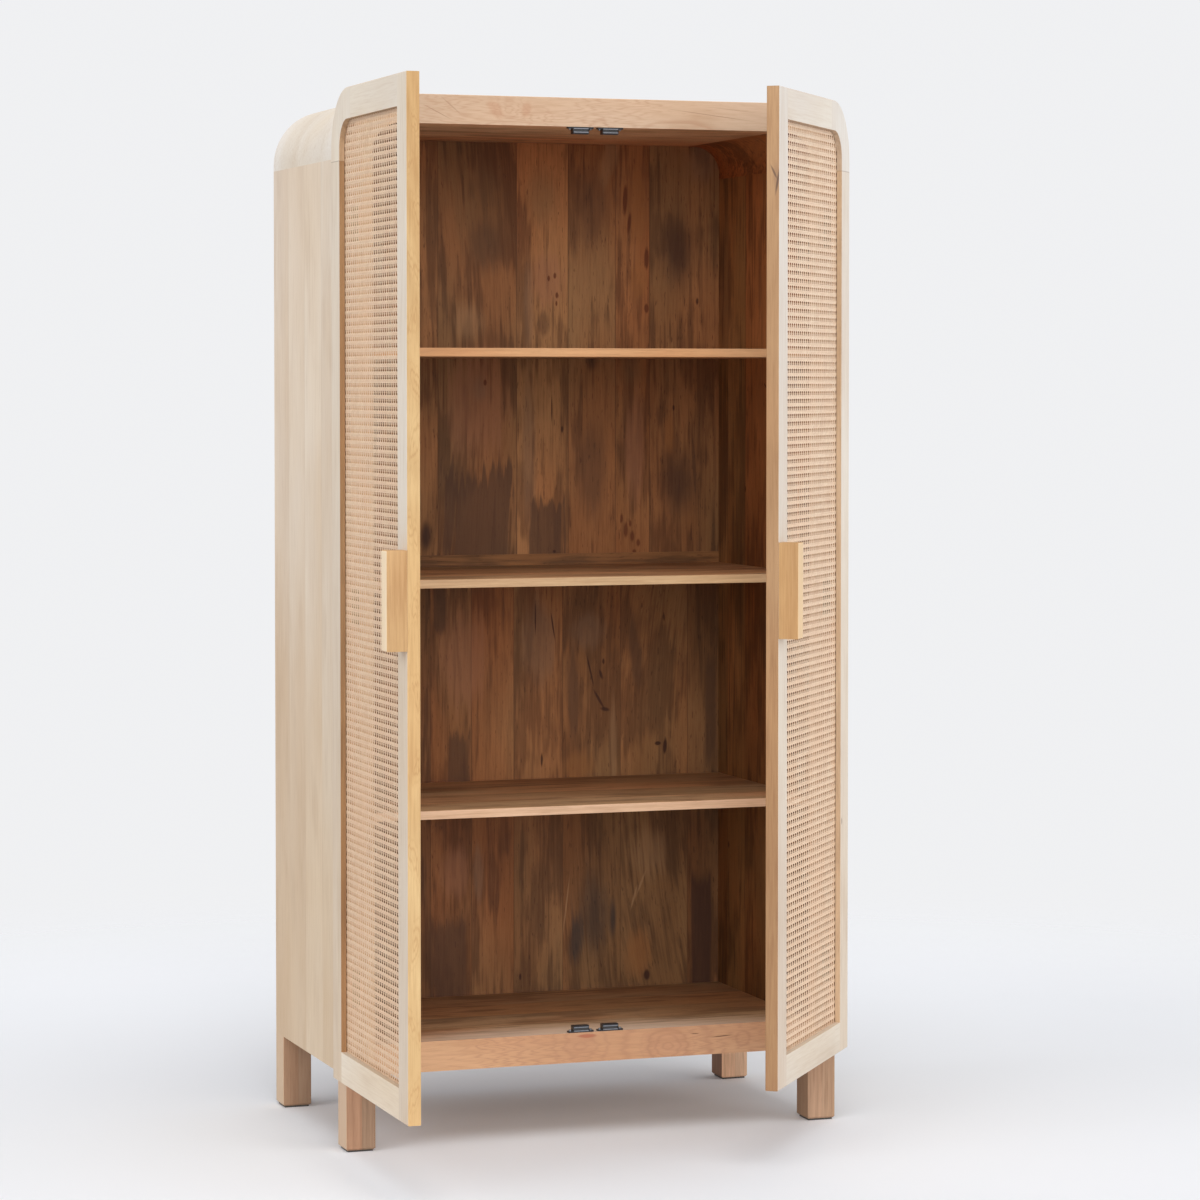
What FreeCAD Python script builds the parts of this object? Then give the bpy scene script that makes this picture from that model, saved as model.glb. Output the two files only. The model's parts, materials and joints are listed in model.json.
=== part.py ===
import FreeCAD, Part
import Sketcher
import math
import os
import re

doc = FreeCAD.newDocument("two_door_cabinet")

# The driving sizes: lengths in millimetres, the two opening angles in degrees
SIZES = {
    # Carcass
    "cabinet_width": 900.0,
    "cabinet_height": 1800.0,
    "carcass_depth": 476.0,
    "leg_height": 130.0,
    "wall_thick": 50.0,
    "bottom_thick": 52.0,
    "corner_radius": 100.0,
    "corner_tail": 10.0,
    "edge_ease": 1.5,
    "tongue_length": 10.0,
    "tongue_thick": 16.0,
    "tongue_stop": 24.0,
    "fit_gap": 0.3,
    "cut_overrun": 5.0,
    # Shelves
    "shelf_thick": 15.0,
    "shelf_set_back": 3.0,
    "shelf_ease": 1.0,
    "housing_depth": 8.0,
    # Back
    "back_thick": 12.0,
    "back_recess": 16.0,
    "back_groove": 8.0,
    "rail_height": 56.0,
    "rail_thick": 20.0,
    "rail_proud": 2.0,
    # Legs
    "leg_size": 52.0,
    "leg_chamfer": 3.0,
    "glide_size": 44.0,
    "glide_thick": 3.0,
    "dowel_radius": 6.0,
    "dowel_length": 60.0,
    "dowel_spacing": 24.0,
    "dowel_clear": 0.1,
    # Doors
    "door_gap": 2.0,
    "door_reveal": 0.5,
    "meeting_gap": 2.0,
    "door_thick": 22.0,
    "frame_width": 52.0,
    "door_tail": 20.0,
    "lip_thick": 9.0,
    "rebate_width": 8.0,
    "tenon_length": 18.0,
    "tenon_thick": 8.0,
    "tenon_width": 30.0,
    "cane_thick": 2.0,
    "cane_bar": 20.5,
    "bead_thick": 9.0,
    "left_open_angle": 90.0,
    "right_open_angle": 52.0,
    # Handles
    "handle_length": 160.0,
    "handle_proud": 34.0,
    "handle_width": 30.0,
    "handle_ease": 2.5,
    "handle_screw_spacing": 96.0,
    "handle_screw_radius": 2.0,
    "handle_screw_bite": 16.0,
    "handle_head_radius": 4.0,
    "handle_head_height": 2.6,
    "handle_head_sink": 5.0,
    # Hinges
    "hinge_height": 64.0,
    "hinge_top_inset": 220.0,
    "hinge_bottom_inset": 150.0,
    "leaf_width": 25.0,
    "leaf_thick": 1.5,
    "knuckle_radius": 4.0,
    "knuckle_space": 0.3,
    "pin_radius": 1.95,
    "pin_clear": 0.05,
    "pin_head_radius": 3.2,
    "pin_head_height": 1.0,
    "cove_clear": 0.6,
    "leaf_screw_inset": 9.0,
    "leaf_screw_near": 11.0,
    "leaf_screw_far": 18.0,
    # Small countersunk screws
    "screw_radius": 1.6,
    "screw_head_radius": 3.4,
    "screw_head_height": 1.8,
    "screw_length": 16.0,
    "screw_sink": 0.1,
    "screw_clear": 0.1,
    # Magnetic catches
    "catch_offset": 27.0,
    "catch_length": 29.0,
    "catch_depth": 13.0,
    "catch_height": 12.0,
    "catch_front_inset": 0.5,
    "catch_ear_length": 8.5,
    "catch_ear_depth": 10.0,
    "catch_ear_thick": 3.0,
    "catch_shell": 1.8,
    "pole_length": 27.0,
    "pole_thick": 1.6,
    "pole_proud": 1.0,
    "pan_radius": 2.6,
    "pan_top_radius": 1.9,
    "pan_height": 2.2,
    # Strike plates
    "strike_length": 32.0,
    "strike_height": 12.0,
    "strike_thick": 1.2,
    "strike_screw_spacing": 20.0,
}
KNUCKLES = 5
CANE_COLUMNS = 8
CANE_ROWS = 36
HINGES = ("lower", "middle", "upper")
SHELVES = ("lower", "middle", "upper")
HANDS = {"left": -1, "right": 1}
ENDS = {"front": -1, "rear": 1}

sheet = doc.addObject("Spreadsheet::Sheet", "Sizes")
for row, (alias, number) in enumerate(SIZES.items(), start=1):
    sheet.set(f"A{row}", alias)
    sheet.set(f"B{row}", str(number))
    sheet.setAlias(f"B{row}", alias)
doc.recompute()

# Places worked out from the sizes, as formulas
SIDE = "(cabinet_width / 2)"
INNER = "(cabinet_width / 2 - wall_thick)"
FRONT = "(0 - carcass_depth / 2)"
REAR = "(carcass_depth / 2)"
CEILING = "(cabinet_height - wall_thick)"
FLOOR = "(leg_height + bottom_thick)"
SPRING = "(cabinet_height - corner_radius)"
BACK_REAR = "(carcass_depth / 2 - back_recess)"
BACK_FRONT = "(carcass_depth / 2 - back_recess - back_thick)"
INNER_RADIUS = "(corner_radius - wall_thick)"
HINGE_Y = "(carcass_depth / 2 + door_gap / 2)"
CLEAR_HEIGHT = f"(({CEILING} - {FLOOR} - {len(SHELVES)} * shelf_thick) / {len(SHELVES) + 1})"
DOOR_OUTER = "door_reveal"
DOOR_MEETING = "(cabinet_width / 2 - meeting_gap / 2)"
DOOR_BACK = "(door_gap / 2)"
DOOR_FRONT = "(door_gap / 2 + door_thick)"
DOOR_LOW = "(leg_height + door_reveal)"
DOOR_HIGH = "(cabinet_height - door_reveal)"
DOOR_SPRING = f"({SPRING} - door_tail)"
CANE_FRONT = f"({DOOR_FRONT} - lip_thick)"
CANE_BACK = f"({DOOR_FRONT} - lip_thick - cane_thick)"
KNUCKLE_STEP = f"(hinge_height / {KNUCKLES})"
NO_TURN = "rotation(vector(0; 0; 1); 0)"

# The origin is at the floor, under the middle of the whole, with the doors standing open.
# Each reach is that of an eased edge: the middle of its rounding, and the rounding's radius.
LEFT_REACH = (
    "(cabinet_width / 2"
    f" - ({DOOR_MEETING} - handle_width + handle_ease) * cos(left_open_angle)"
    f" + ({DOOR_FRONT} + handle_proud - handle_ease) * sin(left_open_angle)"
    " + handle_ease)"
)
RIGHT_REACH = (
    "(cabinet_width / 2"
    f" - ({DOOR_OUTER} + edge_ease) * cos(right_open_angle)"
    f" + ({DOOR_FRONT} - edge_ease) * sin(right_open_angle)"
    " + edge_ease)"
)
FRONT_REACH = (
    f"({HINGE_Y} + ({DOOR_MEETING} - handle_ease) * sin(left_open_angle)"
    f" + ({DOOR_FRONT} + handle_proud - handle_ease) * cos(left_open_angle)"
    " + handle_ease)"
)
SHIFT_X = f"(({LEFT_REACH} - {RIGHT_REACH}) / 2)"
SHIFT_Y = f"(({FRONT_REACH} - {REAR}) / 2)"
CARCASS = f"placement(vector({SHIFT_X}; {SHIFT_Y}; 0); {NO_TURN})"
DOORS = {
    "left": f"{CARCASS} * placement(vector(0 - {SIDE}; 0 - {HINGE_Y}; 0);"
    " rotation(vector(0; 0; 1); 0 - left_open_angle))",
    "right": f"{CARCASS} * placement(vector({SIDE}; 0 - {HINGE_Y}; 0);"
    " rotation(vector(0; 0; 1); right_open_angle))",
}
TURNS = {
    "z": NO_TURN,
    "-z": "rotation(vector(1; 0; 0); 180)",
    "y": "rotation(vector(1; 0; 0); -90)",
    "-y": "rotation(vector(1; 0; 0); 90)",
}
seats = {}
pieces = []


def cells(formula):
    """The formula with each size's name written as its cell."""
    return re.sub(
        "[a-z]+(?:_[a-z]+)+",
        lambda word: f"Sizes.{word.group(0)}" if word.group(0) in SIZES else word.group(0),
        formula,
    )


def value(formula):
    """What a formula comes to with the present sizes."""
    return sheet.evalExpression(cells(formula))


def bind(thing, quality, formula):
    thing.setExpression(quality, cells(formula))


def seat(thing, x, y, z, turn=NO_TURN):
    """Puts a shape at a place in its own assembly: the carcass, or a closed door."""
    seats[thing.Name] = f"placement(vector({x}; {y}; {z}); {turn})"
    bind(thing, "Placement", seats[thing.Name])
    return thing


def piece(label, shape, assembly):
    """Names a finished sub-part and puts it where its assembly stands."""
    own = seats.get(shape.Name, f"placement(vector(0; 0; 0); {NO_TURN})")
    bind(shape, "Placement", f"{assembly} * {own}")
    shape.Label = label
    pieces.append(shape)


def box(name, x, y, z):
    """A block between two formulas along each axis."""
    block = doc.addObject("Part::Box", name)
    bind(block, "Length", f"{x[1]} - {x[0]}")
    bind(block, "Width", f"{y[1]} - {y[0]}")
    bind(block, "Height", f"{z[1]} - {z[0]}")
    return seat(block, x[0], y[0], z[0])


def cylinder(name, at, direction, radius, length):
    drum = doc.addObject("Part::Cylinder", name)
    bind(drum, "Radius", radius)
    bind(drum, "Height", length)
    return seat(drum, *at, TURNS[direction])


def cone(name, at, direction, low_radius, high_radius, length):
    taper = doc.addObject("Part::Cone", name)
    bind(taper, "Radius1", low_radius)
    bind(taper, "Radius2", high_radius)
    bind(taper, "Height", length)
    return seat(taper, *at, TURNS[direction])


def fuse(name, shapes):
    whole = doc.addObject("Part::MultiFuse", name)
    whole.Shapes = shapes
    return whole


def group(name, shapes):
    """Several separate solids in one node."""
    several = doc.addObject("Part::Compound", name)
    several.Links = shapes
    return several


def cut(name, base, tools):
    """The base less one tool, or less several."""
    rest = doc.addObject("Part::Cut", name)
    rest.Base = base
    rest.Tool = tools[0] if len(tools) == 1 else fuse(f"{name}_tools", tools)
    return rest


def on_side(edge, side, bounds):
    """Whether an edge lies in one side of a shape's bounding box, such as x- or z+."""
    axis = "xyz".index(side[0])
    limits = (
        (bounds.XMin, bounds.XMax),
        (bounds.YMin, bounds.YMax),
        (bounds.ZMin, bounds.ZMax),
    )
    level = limits[axis][side[1] == "+"]
    return all(abs(corner.Point[axis] - level) < Part.Precision.confusion() for corner in edge.Vertexes)


def straight_edges(base, corners):
    doc.recompute()
    shape = base.Shape
    return [
        number
        for number, edge in enumerate(shape.Edges, start=1)
        if any(all(on_side(edge, side, shape.BoundBox) for side in corner) for corner in corners)
    ]


def rounded(name, base, corners, radius):
    """Rounds the straight edges where two sides meet, such as (x-, z+)."""
    soft = doc.addObject("Part::Fillet", name)
    soft.Base = base
    soft.Edges = [(number, radius, radius) for number in straight_edges(base, corners)]
    return soft


def chamfered(name, base, corners, width):
    soft = doc.addObject("Part::Chamfer", name)
    soft.Base = base
    soft.Edges = [(number, width, width) for number in straight_edges(base, corners)]
    return soft


def mirrored(hand, low, high):
    """A span along X, kept on the right-hand side and turned over on the left."""
    return (low, high) if hand > 0 else (f"(0 - {high})", f"(0 - {low})")


def corner_block(name, hand, radius, width, tail, depth, ease):
    """A quarter ring with a straight tail at each end, round the arc's centre, grown towards the front."""
    body = doc.addObject("PartDesign::Body", name)
    plane = [p for p in body.Origin.OriginFeatures if p.Role == "XZ_Plane"][0]
    sketch = body.newObject("Sketcher::SketchObject", f"{name}_outline")
    sketch.AttachmentSupport = [(plane, "")]
    sketch.MapMode = "FlatFace"
    big = radius[1]
    small = radius[1] - width[1]
    long = tail[1]
    quarter = (0, 90) if hand > 0 else (90, 180)
    start, stop = (FreeCAD.Units.Quantity(f"{turn} deg").getValueAs("rad").Value for turn in quarter)
    axis_y = FreeCAD.Vector(0, 0, 1)
    centre = FreeCAD.Vector(0, 0, 0)
    level, upright = (1, 2) if hand > 0 else (2, 1)

    def arc(size):
        circle = Part.Circle(centre, axis_y, size)
        return sketch.addGeometry(Part.ArcOfCircle(circle, start, stop), False)

    def line(first, second):
        ends = [FreeCAD.Vector(hand * x, y, 0) for x, y in (first, second)]
        return sketch.addGeometry(Part.LineSegment(*ends), False)

    def rule(*facts):
        return sketch.addConstraint(Sketcher.Constraint(*facts))

    outer = arc(big)
    inner = arc(small)
    outer_fall = line((big, 0), (big, -long))
    foot = line((big, -long), (small, -long))
    inner_fall = line((small, -long), (small, 0))
    inner_run = line((0, small), (-long, small))
    end = line((-long, small), (-long, big))
    outer_run = line((-long, big), (0, big))
    for curve in (outer, inner):
        rule("Coincident", curve, 3, -1, 1)
        rule("PointOnObject", curve, level, -1)
        rule("PointOnObject", curve, upright, -2)
    rule("Coincident", outer, level, outer_fall, 1)
    rule("Coincident", outer_fall, 2, foot, 1)
    rule("Coincident", foot, 2, inner_fall, 1)
    rule("Coincident", inner_fall, 2, inner, level)
    rule("Coincident", inner, upright, inner_run, 1)
    rule("Coincident", inner_run, 2, end, 1)
    rule("Coincident", end, 2, outer_run, 1)
    rule("Coincident", outer_run, 2, outer, upright)
    for upright_line in (outer_fall, inner_fall, end):
        rule("Vertical", upright_line)
    for level_line in (foot, inner_run, outer_run):
        rule("Horizontal", level_line)
    outer_size = rule("Radius", outer, big)
    inner_size = rule("Radius", inner, small)
    fall_size = rule("Distance", outer_fall, 1, outer_fall, 2, long)
    run_size = rule("Distance", inner_run, 1, inner_run, 2, long)
    bind(sketch, f"Constraints[{outer_size}]", radius[0])
    bind(sketch, f"Constraints[{inner_size}]", f"{radius[0]} - {width[0]}")
    bind(sketch, f"Constraints[{fall_size}]", tail[0])
    bind(sketch, f"Constraints[{run_size}]", tail[0])
    pad = body.newObject("PartDesign::Pad", f"{name}_pad")
    pad.Profile = sketch
    bind(pad, "Length", depth)
    sketch.Visibility = False
    doc.recompute()
    shape = pad.Shape
    wide = "x+" if hand > 0 else "x-"
    corners = [(wide, "y-"), (wide, "y+"), ("z+", "y-"), ("z+", "y+")]
    chosen = []
    for number, edge in enumerate(shape.Edges, start=1):
        round_edge = edge.Curve.TypeId == "Part::GeomCircle" and abs(edge.Curve.Radius - big) < ease[1]
        flat_edge = any(all(on_side(edge, side, shape.BoundBox) for side in corner) for corner in corners)
        if round_edge or flat_edge:
            chosen.append(f"Edge{number}")
    soft = body.newObject("PartDesign::Fillet", f"{name}_ease")
    soft.Base = (pad, chosen)
    bind(soft, "Radius", ease[0])
    return body


def named(word):
    """A size as its name for a formula and its present value."""
    return (word, sheet.get(word))


def shelf_low(number):
    """The underside of a shelf, counted from the bottom."""
    return f"({FLOOR} + {number + 1} * {CLEAR_HEIGHT} + {number} * shelf_thick)"


def hinge_low(place):
    heights = {
        "lower": "(leg_height + hinge_bottom_inset - hinge_height / 2)",
        "upper": "(cabinet_height - hinge_top_inset - hinge_height / 2)",
    }
    heights["middle"] = f"(({heights['lower']} + {heights['upper']}) / 2)"
    return heights[place]


def screw(name, at, direction, clear="0", length="screw_length"):
    """A countersunk wood screw, driven from its head's face. With a clearance it is the hole for one."""
    shank = cylinder(f"{name}_shank", at, direction, f"(screw_radius + {clear})", f"({length} + {clear})")
    head = cone(
        f"{name}_head",
        at,
        direction,
        f"(screw_head_radius + {clear})",
        f"(screw_radius + {clear})",
        "screw_head_height",
    )
    return fuse(name, [shank, head])


# Side panels

PANEL_TOP = f"({SPRING} - corner_tail)"
TONGUE_Y = (f"({FRONT} + tongue_stop)", f"({REAR} - tongue_stop)")
BOARD_TONGUE_Z = (
    "(leg_height + (bottom_thick - tongue_thick) / 2)",
    "(leg_height + (bottom_thick + tongue_thick) / 2)",
)
WALL_TONGUE = (
    "((wall_thick - tongue_thick) / 2)",
    "((wall_thick + tongue_thick) / 2)",
)
BACK_Y = (BACK_FRONT, BACK_REAR)
LEG_MIDDLE = "(wall_thick / 2)"


def dowel_spots():
    """Where the leg dowels stand: two in each leg."""
    spots = []
    for side, hand in HANDS.items():
        for end, way in ENDS.items():
            for step in (-1, 1):
                x = f"({hand} * ({SIDE} - {LEG_MIDDLE}))"
                y = f"({way} * ({REAR} - leg_size / 2) + {step} * dowel_spacing / 2)"
                spots.append((side, end, x, y))
    return spots


def leaf_screw_spots(place):
    """The three screws of a hinge leaf, as distances from the pin and heights."""
    low = hinge_low(place)
    return [
        ("leaf_screw_near", f"({low} + leaf_screw_inset)"),
        ("leaf_screw_far", f"({low} + hinge_height / 2)"),
        ("leaf_screw_near", f"({low} + hinge_height - leaf_screw_inset)"),
    ]


def hinge_sinking(name, away, side_y, place):
    """What a hinge leaf and its barrel take out of the wood beside the pin."""
    low = hinge_low(place)
    high = f"({low} + hinge_height)"
    x_near, y_axis = away["axis"]
    cove = cylinder(
        f"{name}_cove",
        (x_near, y_axis, f"({low} - cove_clear)"),
        "z",
        "(knuckle_radius + cove_clear)",
        "(hinge_height + 2 * cove_clear + pin_head_height)",
    )
    bed = box(
        f"{name}_bed",
        away["span"]("(leaf_width + fit_gap)"),
        side_y,
        (f"({low} - fit_gap)", f"({high} + fit_gap)"),
    )
    return [cove, bed]


frame_leaf_screws = []
for side, hand in HANDS.items():
    panel = box(
        f"{side}_side_board",
        mirrored(hand, INNER, SIDE),
        (FRONT, REAR),
        ("leg_height", PANEL_TOP),
    )
    wide = "x+" if hand > 0 else "x-"
    soft_panel = rounded(
        f"{side}_side_eased", panel, [(wide, "y-"), (wide, "y+")], sheet.get("edge_ease")
    )
    tools = []
    for number, place in enumerate(SHELVES):
        back = f"({BACK_FRONT} - rail_proud)" if place == "middle" else BACK_FRONT
        tools.append(
            box(
                f"{side}_housing_{place}",
                mirrored(hand, f"({INNER} - cut_overrun)", f"({INNER} + housing_depth)"),
                (f"({FRONT} + shelf_set_back)", back),
                (shelf_low(number), f"({shelf_low(number)} + shelf_thick)"),
            )
        )
    tools.append(
        box(
            f"{side}_board_housing",
            mirrored(hand, f"({INNER} - cut_overrun)", f"({INNER} + tongue_length + fit_gap)"),
            TONGUE_Y,
            BOARD_TONGUE_Z,
        )
    )
    tools.append(
        box(
            f"{side}_corner_housing",
            mirrored(hand, f"({INNER} + {WALL_TONGUE[0]})", f"({INNER} + {WALL_TONGUE[1]})"),
            TONGUE_Y,
            (f"({PANEL_TOP} - tongue_length - fit_gap)", f"({PANEL_TOP} + cut_overrun)"),
        )
    )
    tools.append(
        box(
            f"{side}_back_groove",
            mirrored(hand, f"({INNER} - cut_overrun)", f"({INNER} + back_groove)"),
            BACK_Y,
            (f"({FLOOR} - back_groove)", f"({PANEL_TOP} + cut_overrun)"),
        )
    )
    for number, (spot_side, end, x, y) in enumerate(dowel_spots()):
        if spot_side == side:
            tools.append(
                cylinder(
                    f"{side}_dowel_hole_{number}",
                    (x, y, "(leg_height - cut_overrun)"),
                    "z",
                    "(dowel_radius + dowel_clear)",
                    "(cut_overrun + dowel_length / 2 + fit_gap)",
                )
            )
    for place in HINGES:
        away = {
            "axis": (f"({hand} * {SIDE})", f"(0 - {HINGE_Y})"),
            "span": lambda reach, hand=hand: mirrored(
                hand, f"({SIDE} - {reach})", f"({SIDE} + cut_overrun)"
            ),
        }
        sunk_y = (f"({FRONT} - cut_overrun)", f"({FRONT} + leaf_thick)")
        tools += hinge_sinking(f"{side}_{place}_side", away, sunk_y, place)
        for number, (reach, height) in enumerate(leaf_screw_spots(place)):
            at = (f"({hand} * ({SIDE} - {reach}))", f"({FRONT} + screw_sink)", height)
            tools.append(screw(f"{side}_{place}_side_hole_{number}", at, "y", "screw_clear"))
            frame_leaf_screws.append(screw(f"{side}_{place}_side_screw_{number}", at, "y"))
    piece(f"side_panel_{side}", cut(f"{side}_side", soft_panel, tools), CARCASS)

piece("side_leaf_screws", group("side_leaf_screws", frame_leaf_screws), CARCASS)

# Rounded top corners

for side, hand in HANDS.items():
    block = corner_block(
        f"{side}_corner_block",
        hand,
        named("corner_radius"),
        named("wall_thick"),
        named("corner_tail"),
        "carcass_depth",
        named("edge_ease"),
    )
    seat(block, f"({hand} * ({SIDE} - corner_radius))", REAR, SPRING)
    down_tongue = box(
        f"{side}_corner_tongue_down",
        mirrored(hand, f"({INNER} + {WALL_TONGUE[0]})", f"({INNER} + {WALL_TONGUE[1]})"),
        TONGUE_Y,
        (f"({PANEL_TOP} - tongue_length)", f"({PANEL_TOP} + fit_gap)"),
    )
    in_tongue = box(
        f"{side}_corner_tongue_in",
        mirrored(
            hand,
            f"({SIDE} - corner_radius - corner_tail - tongue_length)",
            f"({SIDE} - corner_radius - corner_tail + fit_gap)",
        ),
        TONGUE_Y,
        (f"({CEILING} + {WALL_TONGUE[0]})", f"({CEILING} + {WALL_TONGUE[1]})"),
    )
    whole = fuse(f"{side}_corner_whole", [block, down_tongue, in_tongue])
    groove_round = cylinder(
        f"{side}_corner_groove",
        (f"({hand} * ({SIDE} - corner_radius))", BACK_FRONT, SPRING),
        "y",
        f"({INNER_RADIUS} + back_groove)",
        "back_thick",
    )
    groove_down = box(
        f"{side}_corner_groove_down",
        mirrored(hand, f"({SIDE} - corner_radius)", f"({INNER} + back_groove)"),
        BACK_Y,
        (f"({PANEL_TOP} - cut_overrun)", SPRING),
    )
    groove_in = box(
        f"{side}_corner_groove_in",
        mirrored(
            hand,
            f"({SIDE} - corner_radius - corner_tail - cut_overrun)",
            f"({SIDE} - corner_radius)",
        ),
        BACK_Y,
        (SPRING, f"({CEILING} + back_groove)"),
    )
    grooves = [groove_round, groove_down, groove_in]
    piece(f"corner_block_{side}", cut(f"{side}_corner", whole, grooves), CARCASS)

# Magnetic catches, two under the top and two on the bottom board

CATCH_FRONT = f"({FRONT} + catch_front_inset)"
CATCH_REAR = f"({CATCH_FRONT} + catch_depth)"
CATCH_LEVELS = {"top": (CEILING, -1), "bottom": (FLOOR, 1)}
CATCH_SCREW_X = "(catch_length / 2 + catch_ear_length / 2)"
CATCH_SCREW_Y = f"({CATCH_FRONT} + catch_ear_depth / 2)"
POLE_LEVELS = {
    "near": "(catch_shell + fit_gap)",
    "far": "(catch_height - catch_shell - fit_gap - pole_thick)",
}


def from_board(level, low, high):
    """A span of heights measured away from the board that a catch sits on."""
    base, way = CATCH_LEVELS[level]
    if way > 0:
        return (f"({base} + {low})", f"({base} + {high})")
    return (f"({base} - {high})", f"({base} - {low})")


catch_screws = []
catch_holes = {"top": [], "bottom": []}
magnets = []
catch_parts = []
for level, (base, way) in CATCH_LEVELS.items():
    drive = "-z" if way > 0 else "z"
    for side, hand in HANDS.items():
        name = f"{level}_{side}_catch"
        middle = f"({hand} * catch_offset)"
        housing = box(
            f"{name}_block",
            (f"({middle} - catch_length / 2)", f"({middle} + catch_length / 2)"),
            (CATCH_FRONT, CATCH_REAR),
            from_board(level, "0", "catch_height"),
        )
        ears = box(
            f"{name}_ears",
            (
                f"({middle} - catch_length / 2 - catch_ear_length)",
                f"({middle} + catch_length / 2 + catch_ear_length)",
            ),
            (CATCH_FRONT, f"({CATCH_FRONT} + catch_ear_depth)"),
            from_board(level, "0", "catch_ear_thick"),
        )
        mouth = box(
            f"{name}_mouth",
            (
                f"({middle} - pole_length / 2 - fit_gap)",
                f"({middle} + pole_length / 2 + fit_gap)",
            ),
            (f"({CATCH_FRONT} - cut_overrun)", f"({CATCH_REAR} - catch_shell)"),
            from_board(level, "catch_shell", "(catch_height - catch_shell)"),
        )
        holes = [mouth]
        for step in (-1, 1):
            x = f"({middle} + {step} * {CATCH_SCREW_X})"
            ear_face = f"({base} + {way} * catch_ear_thick)"
            head_face = f"({base} + {way} * (catch_ear_thick + pan_height))"
            shank = "(screw_length - catch_ear_thick)"
            word = "a" if step < 0 else "b"
            holes.append(
                cylinder(
                    f"{name}_ear_hole_{word}",
                    (x, CATCH_SCREW_Y, f"({base} + {way} * (catch_ear_thick + cut_overrun))"),
                    drive,
                    "(screw_radius + screw_clear)",
                    "(catch_ear_thick + 2 * cut_overrun)",
                )
            )
            catch_holes[level].append(
                cylinder(
                    f"{name}_board_hole_{word}",
                    (x, CATCH_SCREW_Y, f"({base} + {way} * cut_overrun)"),
                    drive,
                    "(screw_radius + screw_clear)",
                    f"(cut_overrun + {shank} + screw_clear)",
                )
            )
            head = cone(
                f"{name}_pan_{word}",
                (x, CATCH_SCREW_Y, head_face),
                drive,
                "pan_top_radius",
                "pan_radius",
                "pan_height",
            )
            stem = cylinder(
                f"{name}_stem_{word}", (x, CATCH_SCREW_Y, ear_face), drive, "screw_radius", "screw_length"
            )
            catch_screws.append(fuse(f"{name}_screw_{word}", [head, stem]))
        whole = fuse(f"{name}_whole", [housing, ears])
        poles = []
        for word, height in POLE_LEVELS.items():
            poles.append(
                box(
                    f"{name}_pole_{word}",
                    (f"({middle} - pole_length / 2)", f"({middle} + pole_length / 2)"),
                    (f"({CATCH_FRONT} - pole_proud)", f"({CATCH_REAR} - catch_shell - fit_gap)"),
                    from_board(level, height, f"({height} + pole_thick)"),
                )
            )
        magnets.append(
            box(
                f"{name}_magnet",
                (f"({middle} - pole_length / 2)", f"({middle} + pole_length / 2)"),
                (f"({CATCH_FRONT} + pole_proud)", f"({CATCH_REAR} - catch_shell - fit_gap)"),
                from_board(level, f"({POLE_LEVELS['near']} + pole_thick)", POLE_LEVELS["far"]),
            )
        )
        catch_parts.append((f"catch_housing_{level}_{side}", cut(name, whole, holes)))
        catch_parts.append((f"catch_poles_{level}_{side}", group(f"{name}_poles", poles)))
for label, shape in catch_parts:
    piece(label, shape, CARCASS)
piece("catch_magnets", group("catch_magnets", magnets), CARCASS)
piece("catch_screws", group("catch_screws", catch_screws), CARCASS)

# Top and bottom boards

BOARD_END = f"({SIDE} - corner_radius - corner_tail)"
top_plain = box("top_plain", (f"(0 - {BOARD_END})", BOARD_END), (FRONT, REAR), (CEILING, "cabinet_height"))
top_soft = rounded("top_eased", top_plain, [("z+", "y-"), ("z+", "y+")], sheet.get("edge_ease"))
top_tools = list(catch_holes["top"])
top_tools.append(
    box(
        "top_groove",
        (f"(0 - {BOARD_END} - cut_overrun)", f"({BOARD_END} + cut_overrun)"),
        BACK_Y,
        (f"({CEILING} - cut_overrun)", f"({CEILING} + back_groove)"),
    )
)
for side, hand in HANDS.items():
    top_tools.append(
        box(
            f"top_housing_{side}",
            mirrored(hand, f"({BOARD_END} - tongue_length - fit_gap)", f"({BOARD_END} + cut_overrun)"),
            TONGUE_Y,
            (f"({CEILING} + {WALL_TONGUE[0]})", f"({CEILING} + {WALL_TONGUE[1]})"),
        )
    )
piece("top_board", cut("top", top_soft, top_tools), CARCASS)

bottom_plain = box("bottom_plain", (f"(0 - {INNER})", INNER), (FRONT, REAR), ("leg_height", FLOOR))
bottom_tongue = box(
    "bottom_tongue",
    (f"(0 - {INNER} - tongue_length)", f"({INNER} + tongue_length)"),
    TONGUE_Y,
    BOARD_TONGUE_Z,
)
bottom_whole = fuse("bottom_whole", [bottom_plain, bottom_tongue])
bottom_groove = box(
    "bottom_groove",
    (f"(0 - {INNER} - cut_overrun)", f"({INNER} + cut_overrun)"),
    BACK_Y,
    (f"({FLOOR} - back_groove)", f"({FLOOR} + cut_overrun)"),
)
piece("bottom_board", cut("bottom", bottom_whole, [bottom_groove, *catch_holes["bottom"]]), CARCASS)

# Legs, each with a thin glide under it

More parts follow.
